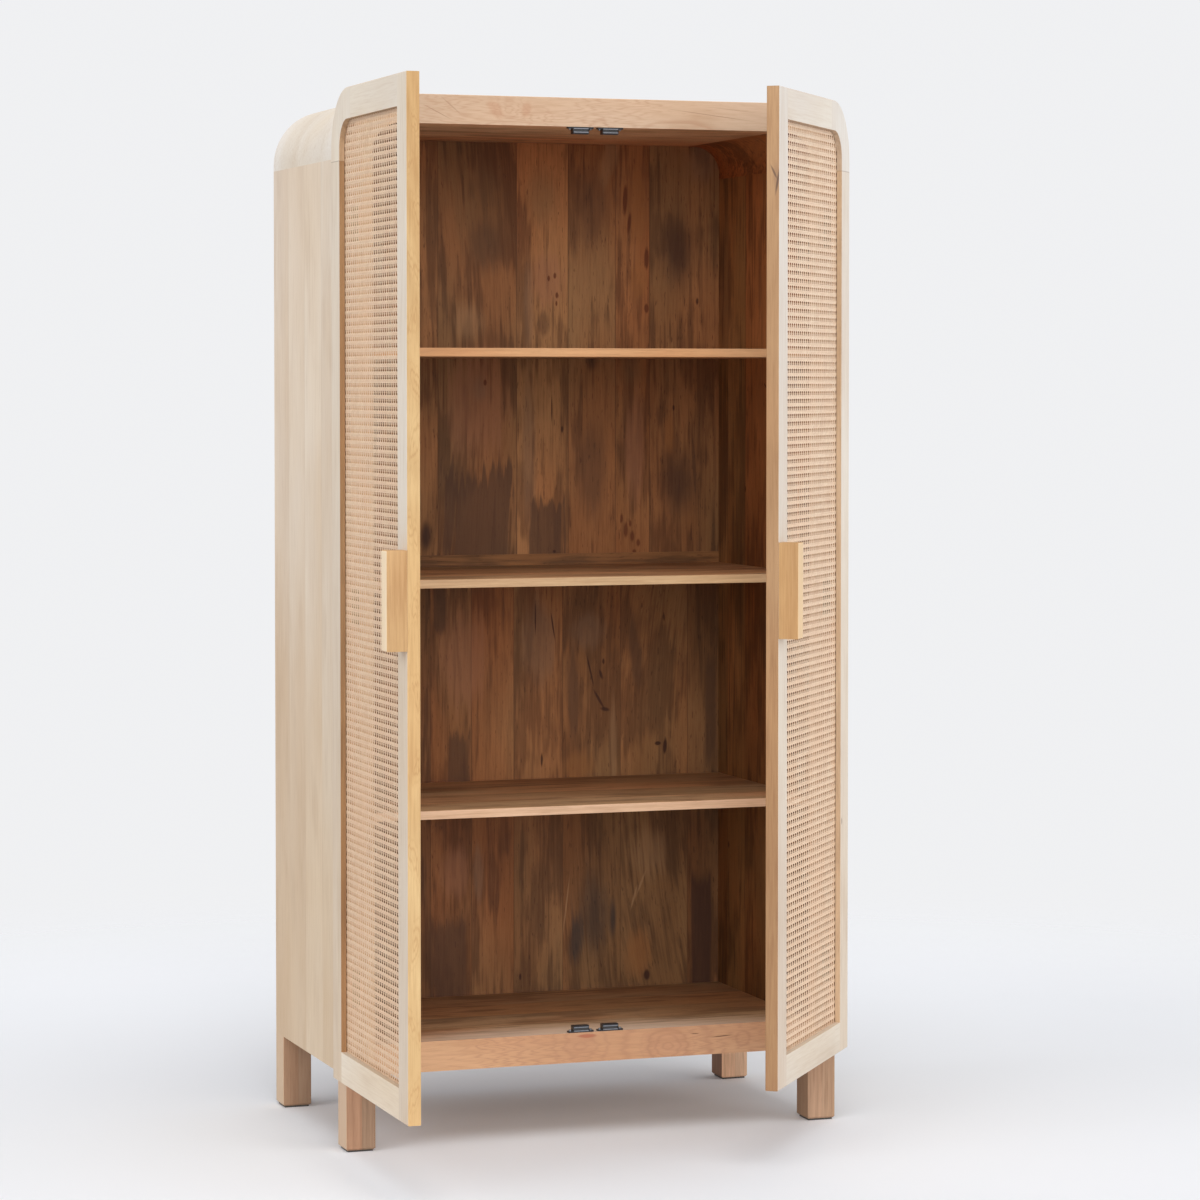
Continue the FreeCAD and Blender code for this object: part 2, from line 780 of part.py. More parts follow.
LEG_Z = ("glide_thick", "leg_height")
dowels = []
glides = []
for side, hand in HANDS.items():
    for end, way in ENDS.items():
        name = f"{side}_{end}_leg"
        x_span = mirrored(hand, f"({SIDE} - leg_size)", SIDE)
        y_span = mirrored(way, f"({REAR} - leg_size)", REAR)
        post = box(f"{name}_post", x_span, y_span, LEG_Z)
        uprights = [("x-", "y-"), ("x-", "y+"), ("x+", "y-"), ("x+", "y+")]
        foot = chamfered(f"{name}_foot", post, [("z-",)], sheet.get("leg_chamfer"))
        soft_post = rounded(f"{name}_eased", foot, uprights, sheet.get("edge_ease"))
        holes = []
        for number, (spot_side, spot_end, x, y) in enumerate(dowel_spots()):
            if (spot_side, spot_end) == (side, end):
                holes.append(
                    cylinder(
                        f"{name}_hole_{number}",
                        (x, y, "(leg_height + cut_overrun)"),
                        "-z",
                        "(dowel_radius + dowel_clear)",
                        "(cut_overrun + dowel_length / 2 + fit_gap)",
                    )
                )
                dowels.append(
                    cylinder(
                        f"{name}_dowel_{number}",
                        (x, y, "(leg_height - dowel_length / 2)"),
                        "z",
                        "dowel_radius",
                        "dowel_length",
                    )
                )
        piece(f"leg_{end}_{side}", cut(name, soft_post, holes), CARCASS)
        glide_inset = "((leg_size - glide_size) / 2)"
        glides.append(
            box(
                f"{name}_glide",
                mirrored(hand, f"({SIDE} - leg_size + {glide_inset})", f"({SIDE} - {glide_inset})"),
                mirrored(way, f"({REAR} - leg_size + {glide_inset})", f"({REAR} - {glide_inset})"),
                ("0", "glide_thick"),
            )
        )
piece("leg_dowels", group("leg_dowels", dowels), CARCASS)
piece("foot_glides", group("foot_glides", glides), CARCASS)

# Shelves

for number, place in enumerate(SHELVES):
    back = f"({BACK_FRONT} - rail_proud)" if place == "middle" else BACK_FRONT
    board = box(
        f"{place}_shelf_board",
        (f"(0 - {INNER} - housing_depth + fit_gap)", f"({INNER} + housing_depth - fit_gap)"),
        (f"({FRONT} + shelf_set_back)", back),
        (shelf_low(number), f"({shelf_low(number)} + shelf_thick)"),
    )
    eased = rounded(f"{place}_shelf", board, [("y-", "z-"), ("y-", "z+")], sheet.get("shelf_ease"))
    piece(f"shelf_{place}", eased, CARCASS)

# Back: two panels held in grooves, and the rail between them

RAIL_MIDDLE = f"({shelf_low(1)} + shelf_thick / 2)"
RAIL_LOW = f"({RAIL_MIDDLE} - rail_height / 2)"
RAIL_HIGH = f"({RAIL_MIDDLE} + rail_height / 2)"
PANEL_EDGE = f"({INNER} + back_groove - fit_gap)"
rail_plain = box(
    "rail_plain",
    (f"(0 - {INNER})", INNER),
    (f"({BACK_FRONT} - rail_proud)", f"({BACK_FRONT} - rail_proud + rail_thick)"),
    (RAIL_LOW, RAIL_HIGH),
)
rail_tongue = box(
    "rail_tongue",
    (f"(0 - {PANEL_EDGE})", PANEL_EDGE),
    BACK_Y,
    (f"({RAIL_LOW} + back_groove)", f"({RAIL_HIGH} - back_groove)"),
)
rail_grooves = [
    box(
        f"rail_groove_{word}",
        (f"(0 - {SIDE})", SIDE),
        BACK_Y,
        span,
    )
    for word, span in {
        "low": (f"({RAIL_LOW} - cut_overrun)", f"({RAIL_LOW} + back_groove)"),
        "high": (f"({RAIL_HIGH} - back_groove)", f"({RAIL_HIGH} + cut_overrun)"),
    }.items()
]
piece("back_rail", cut("back_rail", fuse("rail_whole", [rail_plain, rail_tongue]), rail_grooves), CARCASS)

lower_back = box(
    "lower_back",
    (f"(0 - {PANEL_EDGE})", PANEL_EDGE),
    BACK_Y,
    (f"({FLOOR} - back_groove + fit_gap)", f"({RAIL_LOW} + back_groove - fit_gap)"),
)
piece("back_panel_lower", lower_back, CARCASS)
upper_back_plain = box(
    "upper_back_plain",
    (f"(0 - {PANEL_EDGE})", PANEL_EDGE),
    BACK_Y,
    (f"({RAIL_HIGH} - back_groove + fit_gap)", f"({CEILING} + back_groove - fit_gap)"),
)
groove_radius = sheet.get("corner_radius") - sheet.get("wall_thick") + sheet.get("back_groove")
upper_back = rounded(
    "upper_back",
    upper_back_plain,
    [("x-", "z+"), ("x+", "z+")],
    groove_radius - sheet.get("fit_gap"),
)
piece("back_panel_upper", upper_back, CARCASS)

# Doors, built closed about the hinge pin and then swung open

CANE_OUTER = f"({DOOR_OUTER} + frame_width)"
CANE_MEETING = f"({DOOR_MEETING} - frame_width)"
CANE_LOW = f"({DOOR_LOW} + frame_width)"
CANE_HIGH = f"({DOOR_HIGH} - frame_width)"
TENON_N = (
    f"({DOOR_BACK} + (door_thick - tenon_thick) / 2)",
    f"({DOOR_BACK} + (door_thick + tenon_thick) / 2)",
)
TENON_EDGE = "((frame_width - rebate_width - tenon_width) / 2)"
HANDLE_LOW = f"(({DOOR_LOW} + {DOOR_HIGH} - handle_length) / 2)"
opening_radius = sheet.get("corner_radius") - sheet.get("door_reveal") - sheet.get("frame_width")


def door_spot(hand, u, z):
    """A point of a closed door: its distance from the hinge pin towards the meeting edge, and its height."""
    return FreeCAD.Vector(-hand * u, 0, z)


def door_face(hand, u, z, radius):
    """A flat sheet in a closed door, its upper outer corner rounded."""
    near, far = (value(formula) for formula in u)
    low, high = (value(formula) for formula in z)
    lean = radius * (1 - math.sqrt(0.5))
    bend = [(near, high - radius), (near + lean, high - lean), (near + radius, high)]
    arc_points = [door_spot(hand, *point) for point in bend]
    corners = [(near + radius, high), (far, high), (far, low), (near, low), (near, high - radius)]
    straight = Part.makePolygon([door_spot(hand, *point) for point in corners])
    arc = Part.Arc(*arc_points).toShape()
    return Part.Face(Part.Wire([arc, *straight.Edges]))


def cane_openings(hand, u, z, radius):
    """
    The openings that stand for the webbing's: a coarse grid of squares, which leaves open about
    as much of the sheet as the fine holes of the weave do.
    """
    near, far = (value(formula) for formula in u)
    low, high = (value(formula) for formula in z)
    bar = sheet.get("cane_bar")
    step_u = (far - near + bar) / CANE_COLUMNS
    step_z = (high - low + bar) / CANE_ROWS
    squares = []
    for column in range(CANE_COLUMNS):
        for row in range(CANE_ROWS):
            start = (near + column * step_u, low + row * step_z)
            stop = (start[0] + step_u - bar, start[1] + step_z - bar)
            corners = [start, (stop[0], start[1]), stop, (start[0], stop[1]), start]
            outline = Part.makePolygon([door_spot(hand, *corner) for corner in corners])
            squares.append(Part.Face(outline))
    return Part.makeCompound(squares).common(door_face(hand, u, z, radius))


for side, hand in HANDS.items():
    door = DOORS[side]
    outer_side = "x+" if hand > 0 else "x-"
    meeting_side = "x-" if hand > 0 else "x+"

    def across(low, high, hand=hand):
        """A span measured from the hinge pin towards the meeting edge."""
        return (low, high) if hand < 0 else (f"(0 - {high})", f"(0 - {low})")

    def out(low, high):
        """A span measured from the hinge pin towards the front."""
        return (f"(0 - {high})", f"(0 - {low})")

    def door_box(name, u, n, z, side=side):
        return box(f"{side}_door_{name}", across(*u), out(*n), z)

    def shrunk(grow, less):
        """The cane opening grown by one size and drawn in by another."""
        return (
            (f"({CANE_OUTER} - {grow} + {less})", f"({CANE_MEETING} + {grow} - {less})"),
            (f"({CANE_LOW} - {grow} + {less})", f"({CANE_HIGH} + {grow} - {less})"),
        )

    body_n = (DOOR_BACK, DOOR_FRONT)
    open_u, open_z = shrunk("rebate_width", "0")
    rebate_plain = door_box("rebate_plain", open_u, (f"({DOOR_BACK} - cut_overrun)", CANE_FRONT), open_z)
    rebate = rounded(
        f"{side}_door_rebate",
        rebate_plain,
        [(outer_side, "z+")],
        opening_radius + sheet.get("rebate_width"),
    )

    def tenon(name, u, z):
        return door_box(name, u, TENON_N, z)

    low_tenon_z = (f"({DOOR_LOW} + {TENON_EDGE})", f"({DOOR_LOW} + {TENON_EDGE} + tenon_width)")
    high_tenon_z = (f"({DOOR_HIGH} - {TENON_EDGE} - tenon_width)", f"({DOOR_HIGH} - {TENON_EDGE})")
    stile_tenon_u = (f"({DOOR_OUTER} + {TENON_EDGE})", f"({DOOR_OUTER} + {TENON_EDGE} + tenon_width)")
    socket = "(tenon_length + fit_gap)"

    # Hinge stile
    stile_plain = door_box("hinge_stile", (DOOR_OUTER, CANE_OUTER), body_n, (DOOR_LOW, DOOR_SPRING))
    stile_edges = [(outer_side, "y-"), (outer_side, "y+"), ("z-", "y-"), ("z-", "y+")]
    stile_soft = rounded(f"{side}_hinge_stile_eased", stile_plain, stile_edges, sheet.get("edge_ease"))
    stile_tenon_z = (f"({DOOR_SPRING} - fit_gap)", f"({DOOR_SPRING} + tenon_length)")
    stile_tenon = tenon("stile_tenon", stile_tenon_u, stile_tenon_z)
    stile_whole = fuse(f"{side}_hinge_stile_whole", [stile_soft, stile_tenon])
    stile_tools = [rebate]
    stile_tools.append(
        tenon("stile_socket", (f"({CANE_OUTER} - {socket})", f"({CANE_OUTER} + cut_overrun)"), low_tenon_z)
    )
    door_leaf_screws = []
    door_leaves = []
    side_leaves = []
    pins = []
    for place in HINGES:
        low = hinge_low(place)
        away = {"axis": ("0", "0"), "span": lambda reach: across("(0 - cut_overrun)", reach)}
        sunk_n = out(f"({DOOR_BACK} - cut_overrun)", f"({DOOR_BACK} + leaf_thick)")
        stile_tools += hinge_sinking(f"{side}_{place}_door", away, sunk_n, place)
        for number, (reach, height) in enumerate(leaf_screw_spots(place)):
            at = (f"({0 - hand} * {reach})", f"(0 - {DOOR_BACK} - screw_sink)", height)
            shank = "(door_thick - lip_thick / 2)"
            name = f"{side}_{place}_door_hole_{number}"
            stile_tools.append(screw(name, at, "-y", "screw_clear", shank))
            door_leaf_screws.append(screw(f"{side}_{place}_door_screw_{number}", at, "-y", "0", shank))
        for owner, thick, turn in (
            ("door", (DOOR_BACK, f"({DOOR_BACK} + leaf_thick)"), 1),
            ("side", (f"(0 - {DOOR_BACK} - leaf_thick)", f"(0 - {DOOR_BACK})"), 0),
        ):
            name = f"{side}_{place}_{owner}_leaf"
            plate_z = (low, f"({low} + hinge_height)")
            plate = box(f"{name}_plate", across("0", "leaf_width"), out(*thick), plate_z)
            rings = []
            reliefs = [
                cylinder(
                    f"{name}_bore",
                    ("0", "0", f"({low} - cut_overrun)"),
                    "z",
                    "(pin_radius + pin_clear)",
                    "(hinge_height + 2 * cut_overrun)",
                )
            ]
            for step in range(KNUCKLES):
                base = f"({low} + {step} * {KNUCKLE_STEP})"
                if step % 2 == turn:
                    ring = cylinder(
                        f"{name}_knuckle_{step}",
                        ("0", "0", f"({base} + knuckle_space / 2)" if step else base),
                        "z",
                        "knuckle_radius",
                        f"({KNUCKLE_STEP} - knuckle_space)",
                    )
                    rings.append(ring)
                else:
                    relief = cylinder(
                        f"{name}_relief_{step}",
                        ("0", "0", f"({base} - knuckle_space / 2)"),
                        "z",
                        "(knuckle_radius + knuckle_space)",
                        f"({KNUCKLE_STEP} + knuckle_space)",
                    )
                    reliefs.append(relief)
            for number, (reach, height) in enumerate(leaf_screw_spots(place)):
                inward = "-y" if owner == "door" else "y"
                way = -1 if owner == "door" else 1
                at = (f"({0 - hand} * {reach})", f"({way} * ({DOOR_BACK} + screw_sink))", height)
                reliefs.append(screw(f"{name}_screw_hole_{number}", at, inward, "screw_clear"))
            leaf = cut(name, fuse(f"{name}_whole", [plate, *rings]), reliefs)
            (door_leaves if owner == "door" else side_leaves).append(leaf)
        stem = cylinder(f"{side}_{place}_pin_stem", ("0", "0", low), "z", "pin_radius", "hinge_height")
        head = cylinder(
            f"{side}_{place}_pin_head",
            ("0", "0", f"({low} + hinge_height)"),
            "z",
            "pin_head_radius",
            "pin_head_height",
        )
        pins.append(fuse(f"{side}_{place}_pin", [stem, head]))
    closed = f"{CARCASS} * placement(vector({hand} * {SIDE}; 0 - {HINGE_Y}; 0); {NO_TURN})"
    piece(f"side_leaves_{side}", group(f"{side}_side_leaves", side_leaves), closed)
    piece(f"hinge_pins_{side}", group(f"{side}_pins", pins), closed)
    piece(f"door_leaves_{side}", group(f"{side}_door_leaves", door_leaves), door)
    piece(f"door_leaf_screws_{side}", group(f"{side}_leaf_screws", door_leaf_screws), door)
    piece(f"hinge_stile_{side}", cut(f"{side}_hinge_stile", stile_whole, stile_tools), door)

    # Rounded corner of the frame
    elbow = corner_block(
        f"{side}_door_elbow",
        hand,
        ("(corner_radius - door_reveal)", sheet.get("corner_radius") - sheet.get("door_reveal")),
        named("frame_width"),
        named("door_tail"),
        "door_thick",
        named("edge_ease"),
    )
    seat(elbow, f"({0 - hand} * corner_radius)", f"(0 - {DOOR_BACK})", SPRING)
    elbow_socket_z = (f"({DOOR_SPRING} - cut_overrun)", f"({DOOR_SPRING} + {socket})")
    elbow_sockets = [
        tenon("elbow_socket_low", stile_tenon_u, elbow_socket_z),
        tenon(
            "elbow_socket_in",
            (f"(corner_radius + door_tail - {socket})", "(corner_radius + door_tail + cut_overrun)"),
            high_tenon_z,
        ),
    ]
    piece(f"door_corner_{side}", cut(f"{side}_elbow", elbow, [rebate, *elbow_sockets]), door)

    # Top rail
    rail_u = ("(corner_radius + door_tail)", CANE_MEETING)
    rail_z = (CANE_HIGH, DOOR_HIGH)
    top_plain = door_box("top_rail", rail_u, body_n, rail_z)
    top_soft = rounded(
        f"{side}_top_rail_eased", top_plain, [("z+", "y-"), ("z+", "y+")], sheet.get("edge_ease")
    )
    top_tenon = tenon(
        "top_rail_tenon", (f"({rail_u[0]} - tenon_length)", f"({rail_u[1]} + tenon_length)"), high_tenon_z
    )
    top_whole = fuse(f"{side}_top_rail_whole", [top_soft, top_tenon])
    piece(f"top_rail_{side}", cut(f"{side}_top_rail", top_whole, [rebate]), door)

    # Bottom rail
    low_plain = door_box("bottom_rail", (CANE_OUTER, CANE_MEETING), body_n, (DOOR_LOW, CANE_LOW))
    low_soft = rounded(
        f"{side}_bottom_rail_eased", low_plain, [("z-", "y-"), ("z-", "y+")], sheet.get("edge_ease")
    )
    low_tenon = tenon(
        "bottom_rail_tenon",
        (f"({CANE_OUTER} - tenon_length)", f"({CANE_MEETING} + tenon_length)"),
        low_tenon_z,
    )
    low_whole = fuse(f"{side}_bottom_rail_whole", [low_soft, low_tenon])
    piece(f"bottom_rail_{side}", cut(f"{side}_bottom_rail", low_whole, [rebate]), door)

    # Meeting stile, with the strike plates on its back and the handle on its front
    post_plain = door_box("meeting_stile", (CANE_MEETING, DOOR_MEETING), body_n, (DOOR_LOW, DOOR_HIGH))
    post_edges = [(meeting_side, "y-"), (meeting_side, "y+")]
    post_edges += [(end, face) for end in ("z-", "z+") for face in ("y-", "y+")]
    post_soft = rounded(f"{side}_meeting_stile_eased", post_plain, post_edges, sheet.get("edge_ease"))
    socket_u = (f"({CANE_MEETING} - cut_overrun)", f"({CANE_MEETING} + {socket})")
    post_tools = [
        rebate,
        tenon("post_socket_low", socket_u, low_tenon_z),
        tenon("post_socket_high", socket_u, high_tenon_z),
    ]
    strikes = []
    strike_screws = []
    strike_u = f"({SIDE} - catch_offset)"
    for level in CATCH_LEVELS:
        low, high = from_board(level, "0", "catch_height")
        centre = f"(({low} + {high}) / 2)"
        plate = door_box(
            f"strike_plate_{level}",
            (f"({strike_u} - strike_length / 2)", f"({strike_u} + strike_length / 2)"),
            (f"({DOOR_BACK} - strike_thick)", DOOR_BACK),
            (f"({centre} - strike_height / 2)", f"({centre} + strike_height / 2)"),
        )
        plate_holes = []
        for step in (-1, 1):
            word = f"{level}_{'a' if step < 0 else 'b'}"
            at = (
                f"({0 - hand} * ({strike_u} + {step} * strike_screw_spacing / 2))",
                f"(0 - {DOOR_BACK} + strike_thick - screw_sink)",
                centre,
            )
            post_tools.append(screw(f"{side}_post_screw_hole_{word}", at, "-y", "screw_clear"))
            plate_holes.append(screw(f"{side}_strike_hole_{word}", at, "-y", "screw_clear"))
            strike_screws.append(screw(f"{side}_strike_screw_{word}", at, "-y"))
        strikes.append(cut(f"{side}_strike_{level}", plate, plate_holes))
    piece(f"strike_plates_{side}", group(f"{side}_strikes", strikes), door)
    piece(f"strike_screws_{side}", group(f"{side}_strike_screws", strike_screws), door)

    handle_u = f"({DOOR_MEETING} - handle_width / 2)"
    grip_plain = door_box(
        "handle",
        (f"({DOOR_MEETING} - handle_width)", DOOR_MEETING),
        (DOOR_FRONT, f"({DOOR_FRONT} + handle_proud)"),
        (HANDLE_LOW, f"({HANDLE_LOW} + handle_length)"),
    )
    grip_edges = [("y-", face) for face in ("x-", "x+", "z-", "z+")]
    grip_soft = rounded(f"{side}_handle_eased", grip_plain, grip_edges, sheet.get("handle_ease"))
    grip_holes = []
    handle_screws = []
    for step in (-1, 1):
        word = "a" if step < 0 else "b"
        x = f"({0 - hand} * {handle_u})"
        z = f"({HANDLE_LOW} + handle_length / 2 + {step} * handle_screw_spacing / 2)"
        head_y = f"(0 - {DOOR_BACK} - handle_head_sink)"
        seat_y = f"({head_y} - handle_head_height)"
        shank = "(door_thick - handle_head_sink - handle_head_height + handle_screw_bite)"
        head = cone(
            f"{side}_handle_head_{word}",
            (x, head_y, z),
            "-y",
            "handle_head_radius",
            "handle_head_radius",
            "handle_head_height",
        )
        stem = cylinder(f"{side}_handle_stem_{word}", (x, seat_y, z), "-y", "handle_screw_radius", shank)
        handle_screws.append(fuse(f"{side}_handle_screw_{word}", [head, stem]))
        post_tools.append(
            cylinder(
                f"{side}_handle_sink_{word}",
                (x, "cut_overrun", z),
                "-y",
                "(handle_head_radius + fit_gap)",
                f"(cut_overrun + {DOOR_BACK} + handle_head_sink + handle_head_height)",
            )
        )
        for owner, holes in (("post", post_tools), ("grip", grip_holes)):
            holes.append(
                cylinder(
                    f"{side}_handle_{owner}_hole_{word}",
                    (x, seat_y, z),
                    "-y",
                    "(handle_screw_radius + screw_clear)",
                    f"({shank} + fit_gap)",
                )
            )
    piece(f"handle_{side}", cut(f"{side}_handle", grip_soft, grip_holes), door)
    piece(f"handle_screws_{side}", group(f"{side}_handle_screws", handle_screws), door)
    piece(f"meeting_stile_{side}", cut(f"{side}_meeting_stile", post_soft, post_tools), door)

    # Cane panel, and the beads that hold it in its rebate
    cane_u, cane_z = shrunk("rebate_width", "fit_gap")
    cane_radius = opening_radius + sheet.get("rebate_width") - sheet.get("fit_gap")
    whole_sheet = door_face(hand, cane_u, cane_z, cane_radius)
    gaps = cane_openings(hand, *shrunk("0", "cane_bar / 2"), opening_radius - sheet.get("cane_bar") / 2)
    cane = doc.addObject("Part::Feature", f"{side}_cane")
    cane.Shape = whole_sheet.cut(gaps).Faces[0].extrude(FreeCAD.Vector(0, -sheet.get("cane_thick"), 0))
    seat(cane, "0", f"(0 - {CANE_BACK})", "0")
    piece(f"cane_panel_{side}", cane, door)
    bead_n = (f"({CANE_BACK} - bead_thick)", CANE_BACK)
    ring_plain = door_box("bead_outer", cane_u, bead_n, cane_z)
    ring = rounded(f"{side}_bead_ring", ring_plain, [(outer_side, "z+")], cane_radius)
    hole_u, hole_z = shrunk("0", "0")
    hole_n = (f"({CANE_BACK} - bead_thick - cut_overrun)", f"({CANE_BACK} + cut_overrun)")
    hole_plain = door_box("bead_inner", hole_u, hole_n, hole_z)
    hole = rounded(f"{side}_bead_hole", hole_plain, [(outer_side, "z+")], opening_radius)
    beads = cut(f"{side}_bead_whole", ring, [hole])
    strips = []
    spans = {
        "outer": ((DOOR_OUTER, CANE_OUTER), (CANE_LOW, SPRING)),
        "elbow": ((DOOR_OUTER, "corner_radius"), (SPRING, DOOR_HIGH)),
        "top": (("corner_radius", CANE_MEETING), (CANE_HIGH, DOOR_HIGH)),
        "meeting": ((CANE_MEETING, DOOR_MEETING), (CANE_LOW, DOOR_HIGH)),
        "low": ((DOOR_OUTER, DOOR_MEETING), (DOOR_LOW, CANE_LOW)),
    }
    for word, (u, z) in spans.items():
        strip = doc.addObject("Part::Common", f"{side}_bead_{word}")
        strip.Base = beads
        strip.Tool = door_box(f"bead_{word}_span", u, hole_n, z)
        strips.append(strip)
    piece(f"cane_beads_{side}", group(f"{side}_beads", strips), door)

doc.recompute()
doc.recompute()

# Every object has to have worked out before anything is written
for thing in doc.Objects:
    faults = [state for state in thing.State if state in ("Invalid", "Error")]
    if faults:
        raise RuntimeError(f"{thing.Label} failed: {faults}")
for thing in pieces:
    if thing.Shape.isNull() or not thing.Shape.isValid() or not thing.Shape.Solids:
        raise RuntimeError(f"{thing.Label} has no sound solid")
os.makedirs("parts", exist_ok=True)
for thing in pieces:
    thing.Shape.exportStep(os.path.join("parts", f"{thing.Label}.step"))
bounds = [thing.Shape.optimalBoundingBox() for thing in pieces]
low = [min(getattr(bound, side) for bound in bounds) for side in ("XMin", "YMin", "ZMin")]
high = [max(getattr(bound, side) for bound in bounds) for side in ("XMax", "YMax", "ZMax")]
print(len(pieces), "parts from", [round(v, 3) for v in low], "to", [round(v, 3) for v in high])
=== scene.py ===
import bpy
import json
import math
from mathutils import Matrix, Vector


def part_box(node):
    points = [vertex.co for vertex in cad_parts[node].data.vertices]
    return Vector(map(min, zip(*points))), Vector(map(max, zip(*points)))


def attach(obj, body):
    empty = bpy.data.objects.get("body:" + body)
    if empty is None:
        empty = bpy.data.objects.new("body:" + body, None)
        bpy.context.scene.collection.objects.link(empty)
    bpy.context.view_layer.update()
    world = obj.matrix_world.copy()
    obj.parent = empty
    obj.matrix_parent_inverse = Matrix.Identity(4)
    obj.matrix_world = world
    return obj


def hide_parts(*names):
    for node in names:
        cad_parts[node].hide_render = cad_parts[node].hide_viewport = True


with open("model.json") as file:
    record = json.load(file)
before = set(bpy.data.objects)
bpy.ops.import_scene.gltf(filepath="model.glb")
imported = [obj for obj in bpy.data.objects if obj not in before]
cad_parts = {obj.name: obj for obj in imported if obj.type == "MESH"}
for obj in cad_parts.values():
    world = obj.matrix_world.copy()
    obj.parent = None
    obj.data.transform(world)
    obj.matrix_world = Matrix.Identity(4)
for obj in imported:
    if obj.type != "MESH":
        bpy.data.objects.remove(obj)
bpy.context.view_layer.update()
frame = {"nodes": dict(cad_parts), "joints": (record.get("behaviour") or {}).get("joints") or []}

nodes = frame["nodes"]
mm = 0.001
scene = bpy.context.scene

# Sizes of the cabinet that the finishes and the weave are laid out from
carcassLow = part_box("side_panel_left")[0]
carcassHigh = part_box("side_panel_right")[1]
carcass = {
    "middle": (carcassLow.x + carcassHigh.x) / 2,
    "half": (carcassHigh.x - carcassLow.x) / 2,
    "front": carcassLow.y,
    "top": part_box("top_board")[1].z,
    "wall": carcassHigh.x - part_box("side_panel_right")[0].x,
    "wallShare": 0.94,
    "radius": 100 * mm,
    "backFace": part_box("back_panel_upper")[0].y - carcassLow.y,
}
joints = {joint["child"]: joint for joint in frame["joints"]}


# A door is drawn as if closed, with its pin at x 0 and y 0, then turned as far as it stands open
def doorPlace(body):
    joint = joints[body]
    opened = -math.radians(joint["range_deg"][0])
    pin = Vector(joint["pos_m"])
    return {"pin": Vector((pin.x, pin.y, 0)), "turn": joint["axis"][2] * opened}


places = {"cabinet": {"pin": Vector((carcass["middle"], carcass["front"], 0)), "turn": 0.0}}
places.update({body: doorPlace(body) for body in ("left_door", "right_door")})
print("frame read:", len(nodes), "nodes")


# One value, colour or vector on its way through a material
class Flow:
    def __init__(self, tree, socket=None):
        self.tree = tree
        self.socket = socket

    def make(self, kind, settings=None, inputs=None, out=0):
        node = self.tree.nodes.new(kind)
        for key, value in (settings or {}).items():
            setattr(node, key, value)
        for key, value in (inputs or {}).items():
            if isinstance(value, Flow):
                self.tree.links.new(value.socket, node.inputs[key])
            else:
                node.inputs[key].default_value = value
        return Flow(self.tree, node.outputs[out])

    def math(self, operation, *values):
        return self.make("ShaderNodeMath", {"operation": operation}, dict(enumerate(values)))

    def vector(self, operation, *values, out=0):
        inputs = dict(enumerate(values))
        return self.make("ShaderNodeVectorMath", {"operation": operation}, inputs, out)

    def __add__(self, other):
        return self.math("ADD", self, other)

    def __sub__(self, other):
        return self.math("SUBTRACT", self, other)

    def __rsub__(self, other):
        return self.math("SUBTRACT", other, self)

    def __mul__(self, other):
        return self.math("MULTIPLY", self, other)

    def __pow__(self, other):
        return self.math("POWER", self, other)

    def __gt__(self, other):
        return self.math("GREATER_THAN", self, other)

    def __lt__(self, other):
        return self.math("LESS_THAN", self, other)

    def __abs__(self):
        return self.math("ABSOLUTE", self)

    def least(self, other):
        return self.math("MINIMUM", self, other)

    def most(self, other):
        return self.math("MAXIMUM", self, other)

    def wave(self):
        return self.math("SINE", self) * 0.5 + 0.5

    # Up to the first value it is low, from the second on it is high, and it is soft between them
    def rise(self, first, second, low=0.0, high=1.0):
        inputs = {"Value": self, "From Min": first, "From Max": second, "To Min": low, "To Max": high}
        return self.make("ShaderNodeMapRange", {"interpolation_type": "SMOOTHSTEP"}, inputs)

    # This value is the share of the second colour
    def mix(self, first, second):
        ends = [colour if isinstance(colour, Flow) else (*colour, 1) for colour in (first, second)]
        return self.make("ShaderNodeMix", {"data_type": "RGBA"}, {0: self, 6: ends[0], 7: ends[1]}, 2)

    def parts(self):
        split = self.make("ShaderNodeSeparateXYZ", None, {0: self})
        return [Flow(self.tree, socket) for socket in split.socket.node.outputs]

    def noise(self, scale, detail=3.0, rough=0.5, out=0):
        inputs = {"Vector": self, "Scale": scale, "Detail": detail, "Roughness": rough}
        return self.make("ShaderNodeTexNoise", None, inputs, out)


def newMaterial(name):
    material = bpy.data.materials.new(name)
    material.use_nodes = True
    return material, Flow(material.node_tree), material.node_tree.nodes["Principled BSDF"]


def feed(flow, shader, values):
    for key, value in values.items():
        if isinstance(value, Flow):
            flow.tree.links.new(value.socket, shader.inputs[key])
        else:
            shader.inputs[key].default_value = (*value, 1) if isinstance(value, tuple) else value


# Screen colour, 0 to 255, made into the shader's linear colour
def tone(red, green, blue):
    return tuple(((part / 255 + 0.055) / 1.055) ** 2.4 for part in (red, green, blue))


# Object coordinates in the cabinet's or a closed door's own frame
def ownSpot(flow, body):
    place = places[body]
    spot = flow.make("ShaderNodeTexCoord", out=3)
    inputs = {"Vector": spot, "Location": place["pin"], "Rotation": (0, 0, place["turn"])}
    return flow.make("ShaderNodeMapping", {"vector_type": "TEXTURE"}, inputs)


def ownFacing(flow, body):
    facing = flow.make("ShaderNodeTexCoord", out=1)
    inputs = {"Vector": facing, "Rotation": (0, 0, -places[body]["turn"])}
    return flow.make("ShaderNodeMapping", {"vector_type": "POINT"}, inputs)


